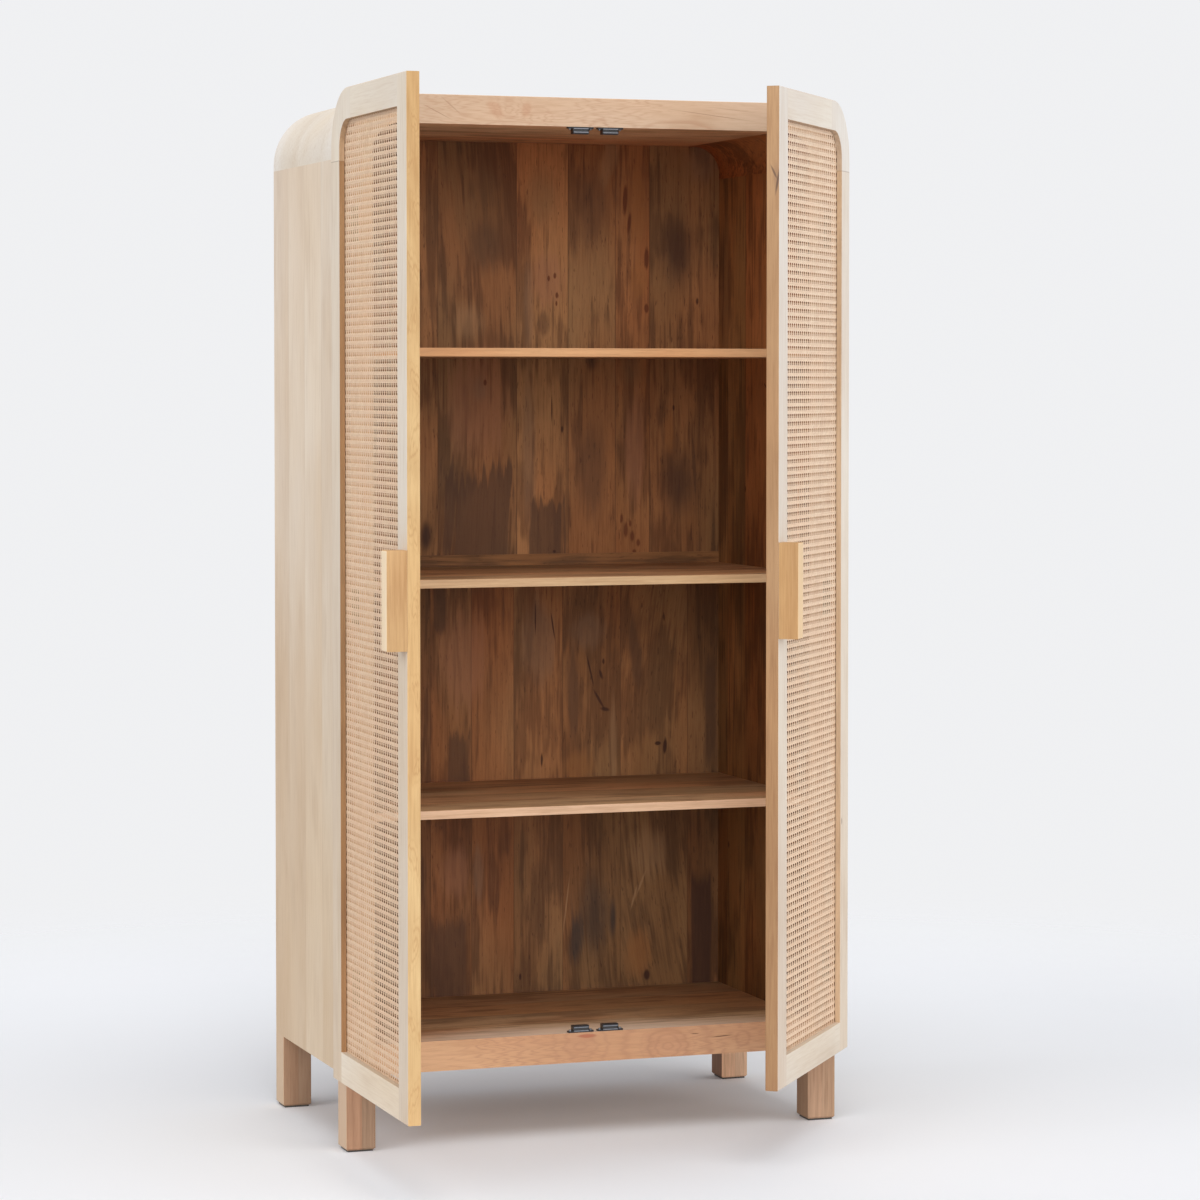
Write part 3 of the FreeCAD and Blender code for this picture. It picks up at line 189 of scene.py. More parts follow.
# How the grain of every board is drawn: scales per metre, and the share of it kept along the board,
# then where each field starts to show and where it shows in full
grainDraw = {
    "cloudScale": 5, "cloudStretch": 0.35, "cloudEnds": (0.35, 0.65),
    "patchScale": 14, "patchStretch": 0.35,
    "featherScale": 110, "featherStretch": 0.06, "streakEnds": (0.5, 0.72),
    "fibreScale": 330, "fibreStretch": 0.04, "fibreEnds": (0.45, 0.72), "gleamEnds": (0.5, 0.28),
    "poreScale": 1250, "poreStretch": 0.035, "poreEnds": (0.58, 0.72),
    "tickScale": 420, "tickStretch": 0.13, "tickEnds": (0.66, 0.74),
    "warmEnds": (0.35, 0.65),
    "ringScale": 105, "ringWander": 0.05, "ringFeather": 0.006,
    "pithSpread": 0.05, "pithNear": 0.25, "pithTilt": 0.09, "depthShare": 0.7,
    "plankSeed": 3.7, "plankShift": (7, 7, 7), "endPlank": 100 * mm,
    "jointLine": 1.1 * mm, "jointEnds": (0.3, 1.4),
}


# The fields that stains are mixed from: clouds, patches, feathers, fibres, pores, ticks, rings
def grainOf(flow, spot, board):
    draw = grainDraw
    parts = spot.parts()
    along = board["grain"]
    across = parts[board["across"]]
    depth = parts[3 - along - board["across"]]
    edges = [edge * mm for edge in board.get("joints", [])]
    steps = [across > edge for edge in edges]

    # One value for each plank, in the planks' order
    def stepped(values):
        value = values[0]
        for step, (before, after) in zip(steps, zip(values, values[1:])):
            value = step * (after - before) + value
        return value

    count = len(edges) + 1
    end = draw["endPlank"]
    reach = [edges[0] - end, *edges, edges[-1] + end] if edges else [-end / 2, end / 2]
    centres = [(low + high) / 2 for low, high in zip(reach, reach[1:])]
    number = stepped([board["seed"] + place * draw["plankSeed"] for place in range(count)])
    luck = flow.make("ShaderNodeTexWhiteNoise", {"noise_dimensions": "1D"}, {"W": number}, 1)
    chance = luck.parts()
    shifted = flow.vector("MULTIPLY_ADD", luck, draw["plankShift"], spot)
    if "bends" in board:
        off = parts[along] - board["bendAt"] * mm
        bend = off * off * stepped(board["bends"])
        aside = flow.make("ShaderNodeCombineXYZ", None, {board["across"]: bend})
        shifted = flow.vector("ADD", shifted, aside)

    def drawn(kind, detail, rough=0.5, out=0):
        stretch = draw[kind + "Stretch"]
        way = tuple(stretch if axis == along else 1 for axis in range(3))
        return flow.vector("MULTIPLY", shifted, way).noise(draw[kind + "Scale"], detail, rough, out)

    cloud, warm, wander = drawn("cloud", 2, out=1).parts()
    feather = drawn("feather", 2, 0.6)
    sideways = across - stepped(centres) + (chance[0] - 0.5) * draw["pithSpread"]
    sideways = sideways + (wander - 0.5) * draw["ringWander"]
    tilt = (chance[2] - 0.5) * board.get("tilt", draw["pithTilt"])
    deep = depth * draw["depthShare"] + (chance[1] + draw["pithNear"]) * draw["pithSpread"]
    deep = deep + parts[along] * tilt
    pith = (sideways * sideways + deep * deep) ** 0.5 + (feather - 0.5) * draw["ringFeather"]
    fields = {
        "cloud": cloud, "warm": warm, "feather": feather, "patch": drawn("patch", 3, 0.55),
        "fibre": drawn("fibre", 2, 0.6), "pore": drawn("pore", 1), "tick": drawn("tick", 1),
        "ring": (pith * (draw["ringScale"] * math.tau)).wave(),
        "tone": stepped(board.get("tones", [1] * count)), "red": stepped(board.get("reds", [0] * count)),
        "place": spot, "spot": parts,
    }
    if edges:
        gap = abs(across - edges[0])
        for edge in edges[1:]:
            gap = gap.least(abs(across - edge))
        fields["joint"] = 1 - gap.rise(*(share * draw["jointLine"] for share in draw["jointEnds"]))
    return fields


# A knot, crack, patch or ring figure put on a face, its edge frayed by the board's feathers.
# It goes right through the board.
markPlain = {
    "share": 0.75, "core": 0.35, "fray": 0.6, "turn": 0, "hollowEdge": (-0.1, 0.05), "ringPower": 3,
    "through": 1000,
}


def markShare(flow, fields, mark, axes):
    mark = {**markPlain, **mark}
    depth = 3 - sum(axes)
    place, size, turn = [0, 0, 0], [1, 1, 1], [0, 0, 0]
    for axis, at, reach in zip(axes, mark["at"], mark["size"]):
        place[axis] = at * mm
        size[axis] = reach * mm
    size[depth] = mark["through"]
    turn[depth] = math.radians(mark["turn"]) * (-1 if depth == 1 else 1)
    inputs = {"Vector": fields["place"], "Location": place, "Rotation": turn, "Scale": size}
    near = flow.make("ShaderNodeMapping", {"vector_type": "TEXTURE"}, inputs)
    if mark.get("square"):
        sides = near.parts()
        away = abs(sides[axes[0]]).most(abs(sides[axes[1]]))
    else:
        away = flow.vector("LENGTH", near, out="Value")
    fray = mark["fray"]
    reach = flow.math("MULTIPLY_ADD", fields["feather"], fray, away)
    share = reach.rise(mark["core"] + fray / 2, 1 + fray / 2, mark["share"], 0.0)
    if "hollow" in mark:
        share = share * reach.rise(*(mark["hollow"] + edge for edge in mark["hollowEdge"]))
    if "rings" in mark:
        share = share * (reach * (mark["rings"] * math.tau)).wave() ** mark["ringPower"]
    return share


def stainOf(flow, fields, stain):
    draw = grainDraw
    light, dark = stain["light"], stain["dark"]
    colour = fields["cloud"].rise(*draw["cloudEnds"]).mix(light, stain["middle"])
    patch = flow.math("MULTIPLY_ADD", fields["feather"], stain["fray"], fields["patch"])
    low, high = (end + stain["fray"] / 2 for end in stain["patchEnds"])
    colour = patch.rise(low, high, 0.0, stain["patch"]).mix(colour, dark)
    colour = (fields["ring"] * stain["ring"]).mix(colour, dark)
    colour = fields["feather"].rise(*draw["streakEnds"], 0.0, stain["streak"]).mix(colour, dark)
    colour = fields["fibre"].rise(*draw["fibreEnds"], 0.0, stain["fibre"]).mix(colour, dark)
    colour = fields["fibre"].rise(*draw["gleamEnds"], 0.0, stain["gleam"]).mix(colour, light)
    colour = fields["pore"].rise(*draw["poreEnds"], 0.0, stain["pore"]).mix(colour, dark)
    if stain["tick"]:
        colour = fields["tick"].rise(*draw["tickEnds"], 0.0, stain["tick"]).mix(colour, stain["deep"])
    warmth = fields["warm"].rise(*draw["warmEnds"]).mix(stain["cool"], stain["warm"])
    colour = flow.vector("MULTIPLY", colour, warmth)
    # Painted shade: the colour darkens towards the foot, standing in for light that falls off lower down
    if "foot" in stain:
        low = fields["spot"][2].rise(*stain["footEnds"])
        colour = flow.vector("MULTIPLY", colour, low.mix((1, 1, 1), stain["foot"]))
    if isinstance(fields["red"], Flow):
        colour = fields["red"].mix(colour, flow.vector("MULTIPLY", colour, stain["red"]))
    if isinstance(fields["tone"], Flow):
        inputs = {0: colour, 3: fields["tone"]}
        colour = flow.make("ShaderNodeVectorMath", {"operation": "SCALE"}, inputs)
    if "joint" in fields:
        colour = (fields["joint"] * stain["joint"]).mix(colour, dark)
    for axes, marks in stain.get("marks", {}).items():
        for mark in marks:
            colour = markShare(flow, fields, mark, axes).mix(colour, mark["colour"])
    return colour


# Stains: colours, how much of each field shows, and how much painted shade darkens each towards its foot
stains = {
    "limed": {
        "light": tone(234, 223, 209), "middle": tone(225, 209, 190), "dark": tone(186, 160, 132),
        "cool": (1.0, 1.0, 1.0), "warm": (1.0, 0.97, 0.92), "red": (1.0, 0.93, 0.88),
        "patchEnds": (0.5, 0.75), "patch": 0.2, "fray": 0.25, "streak": 0.1, "ring": 0.04,
        "fibre": 0.14, "gleam": 0.16, "pore": 0.1, "tick": 0, "joint": 0.3,
        # Painted shade: limed faces darken towards the floor
        "foot": (0.75, 0.67, 0.56), "footEnds": (1.75, 0.2),
    },
    "inside": {
        "light": tone(174, 127, 83), "middle": tone(150, 104, 63), "dark": tone(92, 60, 36),
        "deep": tone(58, 32, 18),
        "cool": (0.94, 1.01, 1.02), "warm": (1.08, 0.94, 0.84), "red": (1.14, 0.88, 0.76),
        "patchEnds": (0.46, 0.62), "patch": 0.6, "fray": 0.5, "streak": 0.3, "ring": 0.14,
        "fibre": 0.25, "gleam": 0.2, "pore": 0.25, "tick": 0.5, "joint": 0.55,
    },
    "bare": {
        "light": tone(226, 194, 158), "middle": tone(214, 179, 143), "dark": tone(160, 116, 80),
        "cool": (1.0, 1.0, 1.0), "warm": (1.02, 0.95, 0.88), "red": (1.0, 0.88, 0.82),
        "patchEnds": (0.5, 0.75), "patch": 0.25, "fray": 0.3, "streak": 0.2, "ring": 0.16,
        "fibre": 0.22, "gleam": 0.2, "pore": 0.2, "tick": 0, "joint": 0.3,
    },
}


def stained(name, **changes):
    return {**stains[name], **changes}


# How far the fibres, pores and joints stand up or lie deep, and how dull the wood is
relief = {
    "fibre": 0.6, "pore": 0.5, "joint": 0.8, "strength": 0.16, "depth": 0.5 * mm,
    "dull": 0.55, "dullFibre": 0.14, "gloss": 0.35,
}


# A wood: one board's grain, its first stain all over, and each other stain with a mask that says where.
# A mask takes the place on the body and the way the face looks, and gives 1 where the stain goes.
def woodMaterial(name, body, board, base, coats=()):
    material, flow, shader = newMaterial(name)
    spot = ownSpot(flow, body)
    facing = ownFacing(flow, body).parts()
    fields = grainOf(flow, spot, board)
    colour = stainOf(flow, fields, base)
    for where, stain in coats:
        coat = stainOf(flow, fields, stain)
        colour = where(fields["spot"], facing).mix(colour, coat)
    height = fields["fibre"] * relief["fibre"] + fields["pore"] * relief["pore"]
    if "joint" in fields:
        height = height - fields["joint"] * relief["joint"]
    inputs = {"Strength": relief["strength"], "Distance": relief["depth"], "Height": height}
    feed(flow, shader, {
        "Base Color": colour,
        "Roughness": fields["fibre"] * relief["dullFibre"] + relief["dull"],
        "Normal": flow.make("ShaderNodeBump", None, inputs),
        "Specular IOR Level": relief["gloss"],
    })
    return material


def wear(material, *names):
    for name in names:
        mesh = nodes[name].data
        mesh.materials.clear()
        mesh.materials.append(material)


# How squarely a face has to look one way to be counted with that side
squarely = {"front": 0.7, "side": 0.6, "ledge": 0.7, "cane": 0.5}


def onFront(spot, facing):
    return facing[1] < -squarely["front"]


# Inside the walls: deeper than nearly all of their thickness, as seen from the front
def withinWalls(spot, facing):
    corner = carcass["half"] - carcass["radius"]
    over = (abs(spot[0]) - corner).most(0.0)
    above = (spot[2] - (carcass["top"] - carcass["radius"])).most(0.0)
    deep = carcass["radius"] - (over * over + above * above) ** 0.5
    return (deep > carcass["wall"] * carcass["wallShare"]) * (spot[1] < carcass["backFace"])


upright = {"grain": 2, "across": 0}
uprightSide = {"grain": 2, "across": 1}
levelFace = {"grain": 0, "across": 2}
levelBoard = {"grain": 0, "across": 1}

# Colours of the marks, on the brown wood and on the bare front edges
shades = {
    "knot": tone(60, 30, 18), "rust": tone(104, 52, 24), "smoke": tone(88, 60, 42),
    "ink": tone(60, 50, 46), "dusk": tone(76, 48, 34), "blush": tone(178, 122, 88),
    "olive": tone(132, 102, 68), "straw": tone(190, 148, 106), "dun": tone(144, 110, 84),
    "amber": tone(170, 112, 62), "line": tone(150, 112, 84), "glow": tone(190, 140, 108),
    "ring": tone(176, 128, 98), "crack": tone(96, 62, 42), "red": tone(166, 82, 60),
    "pale": tone(240, 214, 190),
}


# A mark's place is its middle and its half sizes, in millimetres from the cabinet's middle and
# above the floor, then its turn in degrees if it has one
def spotted(colour, *places, **look):
    return [
        {"at": place[:2], "size": place[2:4], "turn": (*place, 0)[4], "colour": shades[colour], **look}
        for place in places
    ]


# The same for the rings, lines and cracks on a front edge, with their edges less frayed
def figured(colour, *places, fray=0.45, **look):
    return spotted(colour, *places, fray=fray, **look)


# Side panels: planks glued up, limed outside, brown inside, bare on the front edge
sideBoards = {
    "left": {
        "seed": 2.3, "joints": [50, 150, 262, 372],
        "tones": [1.0, 0.985, 1.015, 0.98, 0.97], "reds": [0.1, 0.1, 0.1, 0.35, 0.45],
    },
    "right": {
        "seed": 29.1, "joints": [60, 168, 311, 400],
        "tones": [1.0, 0.92, 0.86, 1.04, 0.92], "reds": [0.3, 0.6, 0.5, 0.05, 0.2],
    },
}
wallMarks = [
    *spotted("knot", (311, 1114, 4, 8), (212, 1304, 11, 2.4, 35), (393, 447, 5, 9),
             share=0.8, core=0.4, fray=0.4),
    *spotted("dusk", (298, 1180, 10, 60), (240, 1500, 9, 110), (330, 930, 14, 120),
             share=0.45, fray=0.9),
    *spotted("smoke", (420, 1500, 34, 150), (410, 1150, 30, 130), share=0.35, core=0.3, fray=1.0),
]
wallStains = {
    "left": stained("inside"),
    # Painted shade: the right wall's inside darkens towards the floor
    "right": stained("inside", light=tone(196, 143, 92), middle=tone(170, 119, 71),
                     foot=(0.62, 0.61, 0.54), footEnds=(1.6, 0.2), marks={(1, 2): wallMarks}),
}
blockStains = {
    "left": stained("inside"),
    "right": stained("inside", light=tone(194, 124, 74), middle=tone(166, 98, 54), dark=tone(96, 54, 28)),
}
blockLimed = stained("limed", light=tone(233, 226, 217), middle=tone(225, 214, 199))
blockBoard = {"seedStep": 40, "tilt": 0.3}
for side, board in sideBoards.items():
    coats = [(withinWalls, wallStains[side]), (onFront, stained("bare"))]
    wood = woodMaterial(f"{side}SideWood", "cabinet", {**uprightSide, **board}, stained("limed"), coats)
    wear(wood, f"side_panel_{side}")
    board = {**levelBoard, "seed": board["seed"] + blockBoard["seedStep"], "tilt": blockBoard["tilt"]}
    coats = [(withinWalls, blockStains[side]), (onFront, stained("bare"))]
    wear(woodMaterial(f"{side}CornerWood", "cabinet", board, blockLimed, coats), f"corner_block_{side}")

# Top and bottom boards: glued up from front to back, with the photo's figure on their bare fronts
topBoard = {
    **levelBoard, "seed": 61.3, "joints": [118, 236, 352], "tones": [1, 0.95, 1.02, 0.97], "tilt": 0.3,
}
topFigure = [
    *figured("line", (-286, 1770, 36, 1.0, -26), share=0.65, fray=0.4),
    *figured("line", (-262, 1782, 28, 1.8, -40), share=0.4, fray=0.8),
    *figured("glow", (-182, 1776, 26, 13, -50), share=0.4, fray=1.0),
    *figured("ring", (-158, 1776, 44, 44), rings=4.2, share=0.28, core=0.2, fray=0.9),
    *figured("glow", (-126, 1777, 11, 17, -20), share=0.45, fray=1.0),
    *figured("ring", (-104, 1764, 44, 36), rings=3.3, share=0.3, core=0.2, fray=0.9),
    *figured("ring", (6, 1748, 40, 34), rings=2.6, share=0.35, core=0.3, fray=0.8),
    *figured("ring", (-120, 1930, 300, 300), rings=13, share=0.3, core=0.85, hollow=0.75),
    *figured("line", (216, 1775, 98, 1.1, -6.5), share=0.5, fray=0.5),
    *figured("ring", (150, 1740, 110, 34), rings=2.6, share=0.32, core=0.7),
    *figured("line", (250, 1786, 60, 0.9, -5), share=0.35, fray=0.5),
]
# Painted light: the top board's underside inside is painted much paler than the other brown wood, standing
# in for light thrown up from the floor
ceilingPaintedLightStain = stained(
    "inside", light=tone(238, 188, 146), middle=tone(222, 172, 130), dark=tone(150, 104, 72),
)
topFront = stained("bare", light=tone(212, 186, 161), middle=tone(200, 173, 147), ring=0.06, streak=0.08,
                   fibre=0.12, gleam=0.1, marks={(0, 2): topFigure})
topCoats = [(withinWalls, ceilingPaintedLightStain), (onFront, topFront)]
wear(woodMaterial("topWood", "cabinet", topBoard, stained("limed"), topCoats), "top_board")

bottomBoard = {
    **levelBoard, "seed": 67.9, "joints": [112, 218, 330], "tones": [1, 0.85, 0.95, 0.8], "tilt": 0.3,
}
bottomFigure = [
    *figured("ring", (53, 311, 360, 360), rings=13, share=0.5, core=0.9, hollow=0.72),
    *figured("ring", (-29, 161, 62, 62), rings=3.0, share=0.4, core=0.7, fray=0.6),
    *figured("glow", (-29, 161, 34, 26), share=0.3, core=0.6),
    *figured("ring", (133, 148, 100, 100), rings=2.2, share=0.45, core=0.8),
    *figured("glow", (133, 150, 33, 25), share=0.35, core=0.8, fray=0.3),
    *figured("ring", (133, 150, 62, 52), rings=4.4, share=0.5, core=0.5, fray=0.3),
    *figured("ring", (274, 154, 26, 22), rings=1.7, share=0.45, core=0.8),
    *figured("crack", (234, 161, 26, 1.4, 3), share=0.9, fray=0.5),
    *figured("crack", (184, 168, 10, 1.2, -3), share=0.8, fray=0.5),
    *figured("red", (-16, 175, 20, 5), share=0.65, fray=1.2),
]
# Painted light: a pale patch over the front of the bottom board, where the light falls in
paintedFrontLight = spotted("pale", (0, -20, 600, 150), share=0.75, core=0.2, fray=0.5)
shelfStain = stained(
    "inside", light=tone(208, 163, 122), middle=tone(188, 143, 101), dark=tone(126, 87, 58),
)
bottomFront = stained("bare", light=tone(211, 169, 132), middle=tone(198, 151, 115), ring=0.06, streak=0.08,
                      fibre=0.14, gleam=0.12, marks={(0, 2): bottomFigure})
bottomStain = {**shelfStain, "marks": {(0, 1): paintedFrontLight}}
bottomWood = woodMaterial("bottomWood", "cabinet", bottomBoard, bottomStain, [(onFront, bottomFront)])
wear(bottomWood, "bottom_board")

# Back panels: upright planks, each with its own tone, and the photo's stains and knots
upperMarks = [
    *spotted("olive", (-60, 1620, 66, 130), (50, 1650, 38, 70), (225, 1335, 26, 44),
             share=0.4, core=0.3, fray=1.0),
    *spotted("smoke", (150, 1640, 42, 100), (-54, 1560, 46, 60), (148, 1150, 40, 120),
             share=0.5, core=0.3, fray=1.0),
    *spotted("dun", (366, 1722, 44, 56), (25, 1180, 18, 190), (25, 1450, 14, 120),
             share=0.45, core=0.3, fray=0.8),
    *spotted("blush", (62, 1500, 42, 64), (-78, 1270, 74, 130), (232, 1180, 26, 140),
             share=0.5, core=0.4, fray=1.0),
    *spotted("straw", (182, 1722, 22, 70, -12), (-90, 1420, 40, 50), share=0.4, core=0.3, fray=0.9),
    *spotted("amber", (234, 1640, 24, 96), (240, 1500, 20, 50), share=0.55, core=0.5, fray=0.8),
    *spotted("dusk", (316, 1560, 46, 104), (319, 1122, 54, 86), share=0.75, core=0.1, fray=0.7),
    *spotted("smoke", (-74, 1040, 74, 120), (60, 1030, 36, 66),
             share=0.75, core=0.75, fray=1.5, square=True),
    *spotted("amber", (302, 1216, 15, 56), share=0.6, core=0.3, fray=0.7),
    *spotted("dun", (-70, 1298, 24, 34), share=0.4, core=0.2),
    *spotted("dusk", (350, 1170, 5, 80, 4), (54, 1418, 16, 30), (148, 1352, 15, 26), share=0.5, fray=0.8),
    *spotted("rust", (214, 1650, 6, 34, -3), (222, 1606, 5, 30, -6), (256, 1541, 6, 24), (256, 1448, 6, 11),
             share=0.85, core=0.5, fray=0.5),
    *spotted("rust", (-59, 1310, 4, 7), (64, 1502, 3.5, 7), (76, 1507, 3.5, 7), (80, 1471, 3.5, 7),
             (79, 1456, 2.5, 6), share=0.85, core=0.5, fray=0.2),
    *spotted("rust", (207, 1058, 4, 12), (215, 1036, 6, 18), (224, 1048, 4, 9), (228, 1024, 6, 14),
             (240, 1012, 5, 9), (232, 996, 5, 6), share=0.8, core=0.4, fray=0.6),
    *spotted("knot", (-172, 1030, 14, 36), share=0.85, core=0.3, fray=1.0),
    *spotted("knot", (310, 1263, 3, 8), (357, 1462, 3.5, 8), (75, 998, 4, 4), (90, 1224, 3, 9),
             (70, 1262, 1.6, 34), (345, 1030, 1.4, 24), share=0.85, core=0.4, fray=0.3),
]
lowerMarks = [
    *spotted("blush", (-100, 800, 62, 120), (-119, 410, 36, 62), share=0.5, core=0.4, fray=1.0),
    *spotted("dun", (45, 830, 46, 100), (140, 848, 42, 46), (-74, 405, 14, 66),
             share=0.5, core=0.4, fray=0.9),
    *spotted("amber", (120, 596, 40, 42), (240, 240, 34, 60), share=0.5, core=0.3, fray=0.9),
    *spotted("straw", (262, 430, 50, 66), (190, 640, 10, 120), share=0.35, core=0.3, fray=1.0),
    *spotted("smoke", (-148, 905, 15, 60), (-112, 610, 26, 66), (-130, 230, 42, 110), (384, 690, 14, 130),
             share=0.7, core=0.6, fray=1.2, square=True),
    *spotted("smoke", (112, 730, 18, 110), (235, 800, 16, 90, 6), share=0.65, core=0.4, fray=1.2),
    *spotted("ink", (150, 322, 46, 100), share=0.5, core=0.3, fray=1.2),
    *spotted("ink", (118, 276, 18, 66, -6), (190, 312, 9, 60), share=0.8, core=0.3, fray=1.0),
    *spotted("dusk", (366, 250, 22, 150), share=0.85, core=0.75, fray=0.5, square=True),
    *spotted("straw", (98, 340, 2, 66, -7), (246, 376, 3, 34, -22), (232, 350, 3, 30, -16),
             share=0.5, fray=0.5),
    *spotted("knot", (145, 776, 2.4, 42, 13), (162, 722, 3.6, 28, 30), (174, 703, 12, 5, -12),
             (166, 768, 4, 13, 16), (171, 792, 3, 7), share=0.8, core=0.4, fray=0.3),
    *spotted("knot", (38, 876, 1.8, 38), (72, 860, 2, 36, 9), (50, 612, 2.8, 16), (291, 873, 2, 11, 4),
             share=0.85, core=0.4, fray=0.3),
    *spotted("knot", (279, 636, 8, 5), (293, 630, 5, 18, -4), (257, 202, 8, 13), (8, 211, 3, 8),
             share=0.9, core=0.5, fray=0.5),
]
backBoards = {
    "upper": {
        "seed": 75.7, "joints": [-345, -240, -149.5, 1.8, 102, 194.6, 262], "marks": upperMarks,
        "tones": [0.9, 0.95, 1.12, 0.94, 1.26, 1.0, 1.16, 0.96],
        "reds": [0.2, 0.3, 0.1, 0.1, 0.25, 0.1, 0.6, 0.2],
        "bends": [0, 0, 0, 0.1, 0, 0, 0, 0], "bendAt": 1300,
    },
    "lower": {
        "seed": 113.2, "joints": [-345, -240, -165, -86, -4, 91, 204.5, 338], "marks": lowerMarks,
        "tones": [0.9, 0.95, 0.9, 1.1, 1.14, 1.04, 1.04, 1.1, 0.86],
        "reds": [0.2, 0.3, 0.2, 0.5, 0.4, 0.05, 0.1, 0.1, 0.2],
        "bends": [0, 0, 0, 0, 0, 0, -0.1, -0.24, 0], "bendAt": 620,
    },
}
for half, board in backBoards.items():
    # Painted shade: the back panels are darker low down, below about 0.6 m
    backStain = stained("inside", marks={(0, 2): board["marks"]}, foot=(0.8, 0.8, 0.8), footEnds=(0.62, 0.5))
    wear(woodMaterial(f"{half}BackWood", "cabinet", {**upright, **board}, backStain), f"back_panel_{half}")
railStain = stained("inside", light=tone(168, 112, 66), middle=tone(150, 98, 58))
wear(woodMaterial("railWood", "cabinet", {**levelFace, "seed": 83.1}, railStain), "back_rail")

# Shelves: brown above and below, bare front edges of three tones
shelfEdges = {
    "lower": {"light": tone(232, 196, 164), "middle": tone(216, 174, 138)},
    "middle": {"light": tone(220, 190, 148), "middle": tone(206, 172, 134)},
    "upper": {"light": tone(226, 180, 134), "middle": tone(210, 158, 112)},
}
shelfBoard = {**levelBoard, "seed": 91.7, "joints": [108, 221, 334], "tones": [1, 0.92, 1.04, 0.9]}
shelfSeedStep = 5
for number, (place, colours) in enumerate(shelfEdges.items()):
    board = {**shelfBoard, "seed": shelfBoard["seed"] + number * shelfSeedStep}
    coats = [(onFront, stained("bare", **colours))]
    wear(woodMaterial(f"{place}ShelfWood", "cabinet", board, shelfStain, coats), f"shelf_{place}")


# Legs: limed on the cabinet's outer side, with painted shade on the side that faces inwards, and each leg's
# colour scaled for painted light and shade
def sideOf(hand):
    def where(spot, facing):
        return facing[0] * hand > squarely["side"]
    return where


def dimmed(colours, share):
    return {key: tuple(part * share for part in colour) for key, colour in colours.items()}


legWood = {"light": tone(190, 159, 133), "middle": tone(172, 141, 115), "dark": tone(118, 88, 66)}
# Painted shade: the limed outer sides darken towards the floor
legLimed = stained("limed", light=tone(207, 187, 165), middle=tone(197, 175, 150), foot=(0.9, 0.86, 0.82))
# Painted light and shade: each leg's share scales its colour to how brightly it stands lit; the rear right
# leg is painted 1.8 times as bright against the shadow under the cabinet
legPaintedLightAndRed = {
    "front_left": {"share": 0.76, "red": 1, "inner": "plain"},
    "rear_left": {"share": 0.78, "red": 0.25, "inner": "plain"},
    "front_right": {"share": 1.05, "red": 0.25, "inner": "plain"},
    "rear_right": {"share": 1.8, "red": 0.25, "inner": "deep"},
}
# Painted shade on each leg's inward side: plain for most, deep and redder for the rear right leg under the
# cabinet
innerPaintedShade = {
    "plain": {"share": 0.75, "cool": (1.0, 0.95, 0.86), "warm": (1.02, 0.92, 0.8)},
    "deep": {"share": 0.5, "cool": (1.0, 0.74, 0.56), "warm": (1.02, 0.7, 0.5)},
}
legBoard = {"seed": 121.3, "seedStep": 3.5, "middle": 424, "aside": 2, "tones": [1, 0.9]}
for number, (leg, look) in enumerate(legPaintedLightAndRed.items()):
    hand = 1 if leg.endswith("right") else -1
    inner = innerPaintedShade[look["inner"]]
    base = stained("bare", **dimmed(legWood, look["share"]), joint=0.1, red=(1.1, 0.9, 0.78))
    innerShadeStain = stained("bare", **dimmed(legWood, inner["share"]), joint=0.1, cool=inner["cool"],
                         warm=inner["warm"])
    coats = [(sideOf(-hand), innerShadeStain), (sideOf(hand), legLimed)]
    joint = hand * legBoard["middle"] + legBoard["aside"]
    board = {**upright, "seed": legBoard["seed"] + number * legBoard["seedStep"], "joints": [joint],
             "reds": [look["red"], 0], "tones": legBoard["tones"]}
    wear(woodMaterial(f"{leg}LegWood", "cabinet", board, base, coats), f"leg_{leg}")


# Doors: limed fronts, bare edges, and browner wood round the cane
def roundCane(hand):
    def where(spot, facing):
        return facing[0] * hand - facing[2] > squarely["cane"]
    return where


def onLedge(spot, facing):
    return facing[2] > squarely["ledge"]


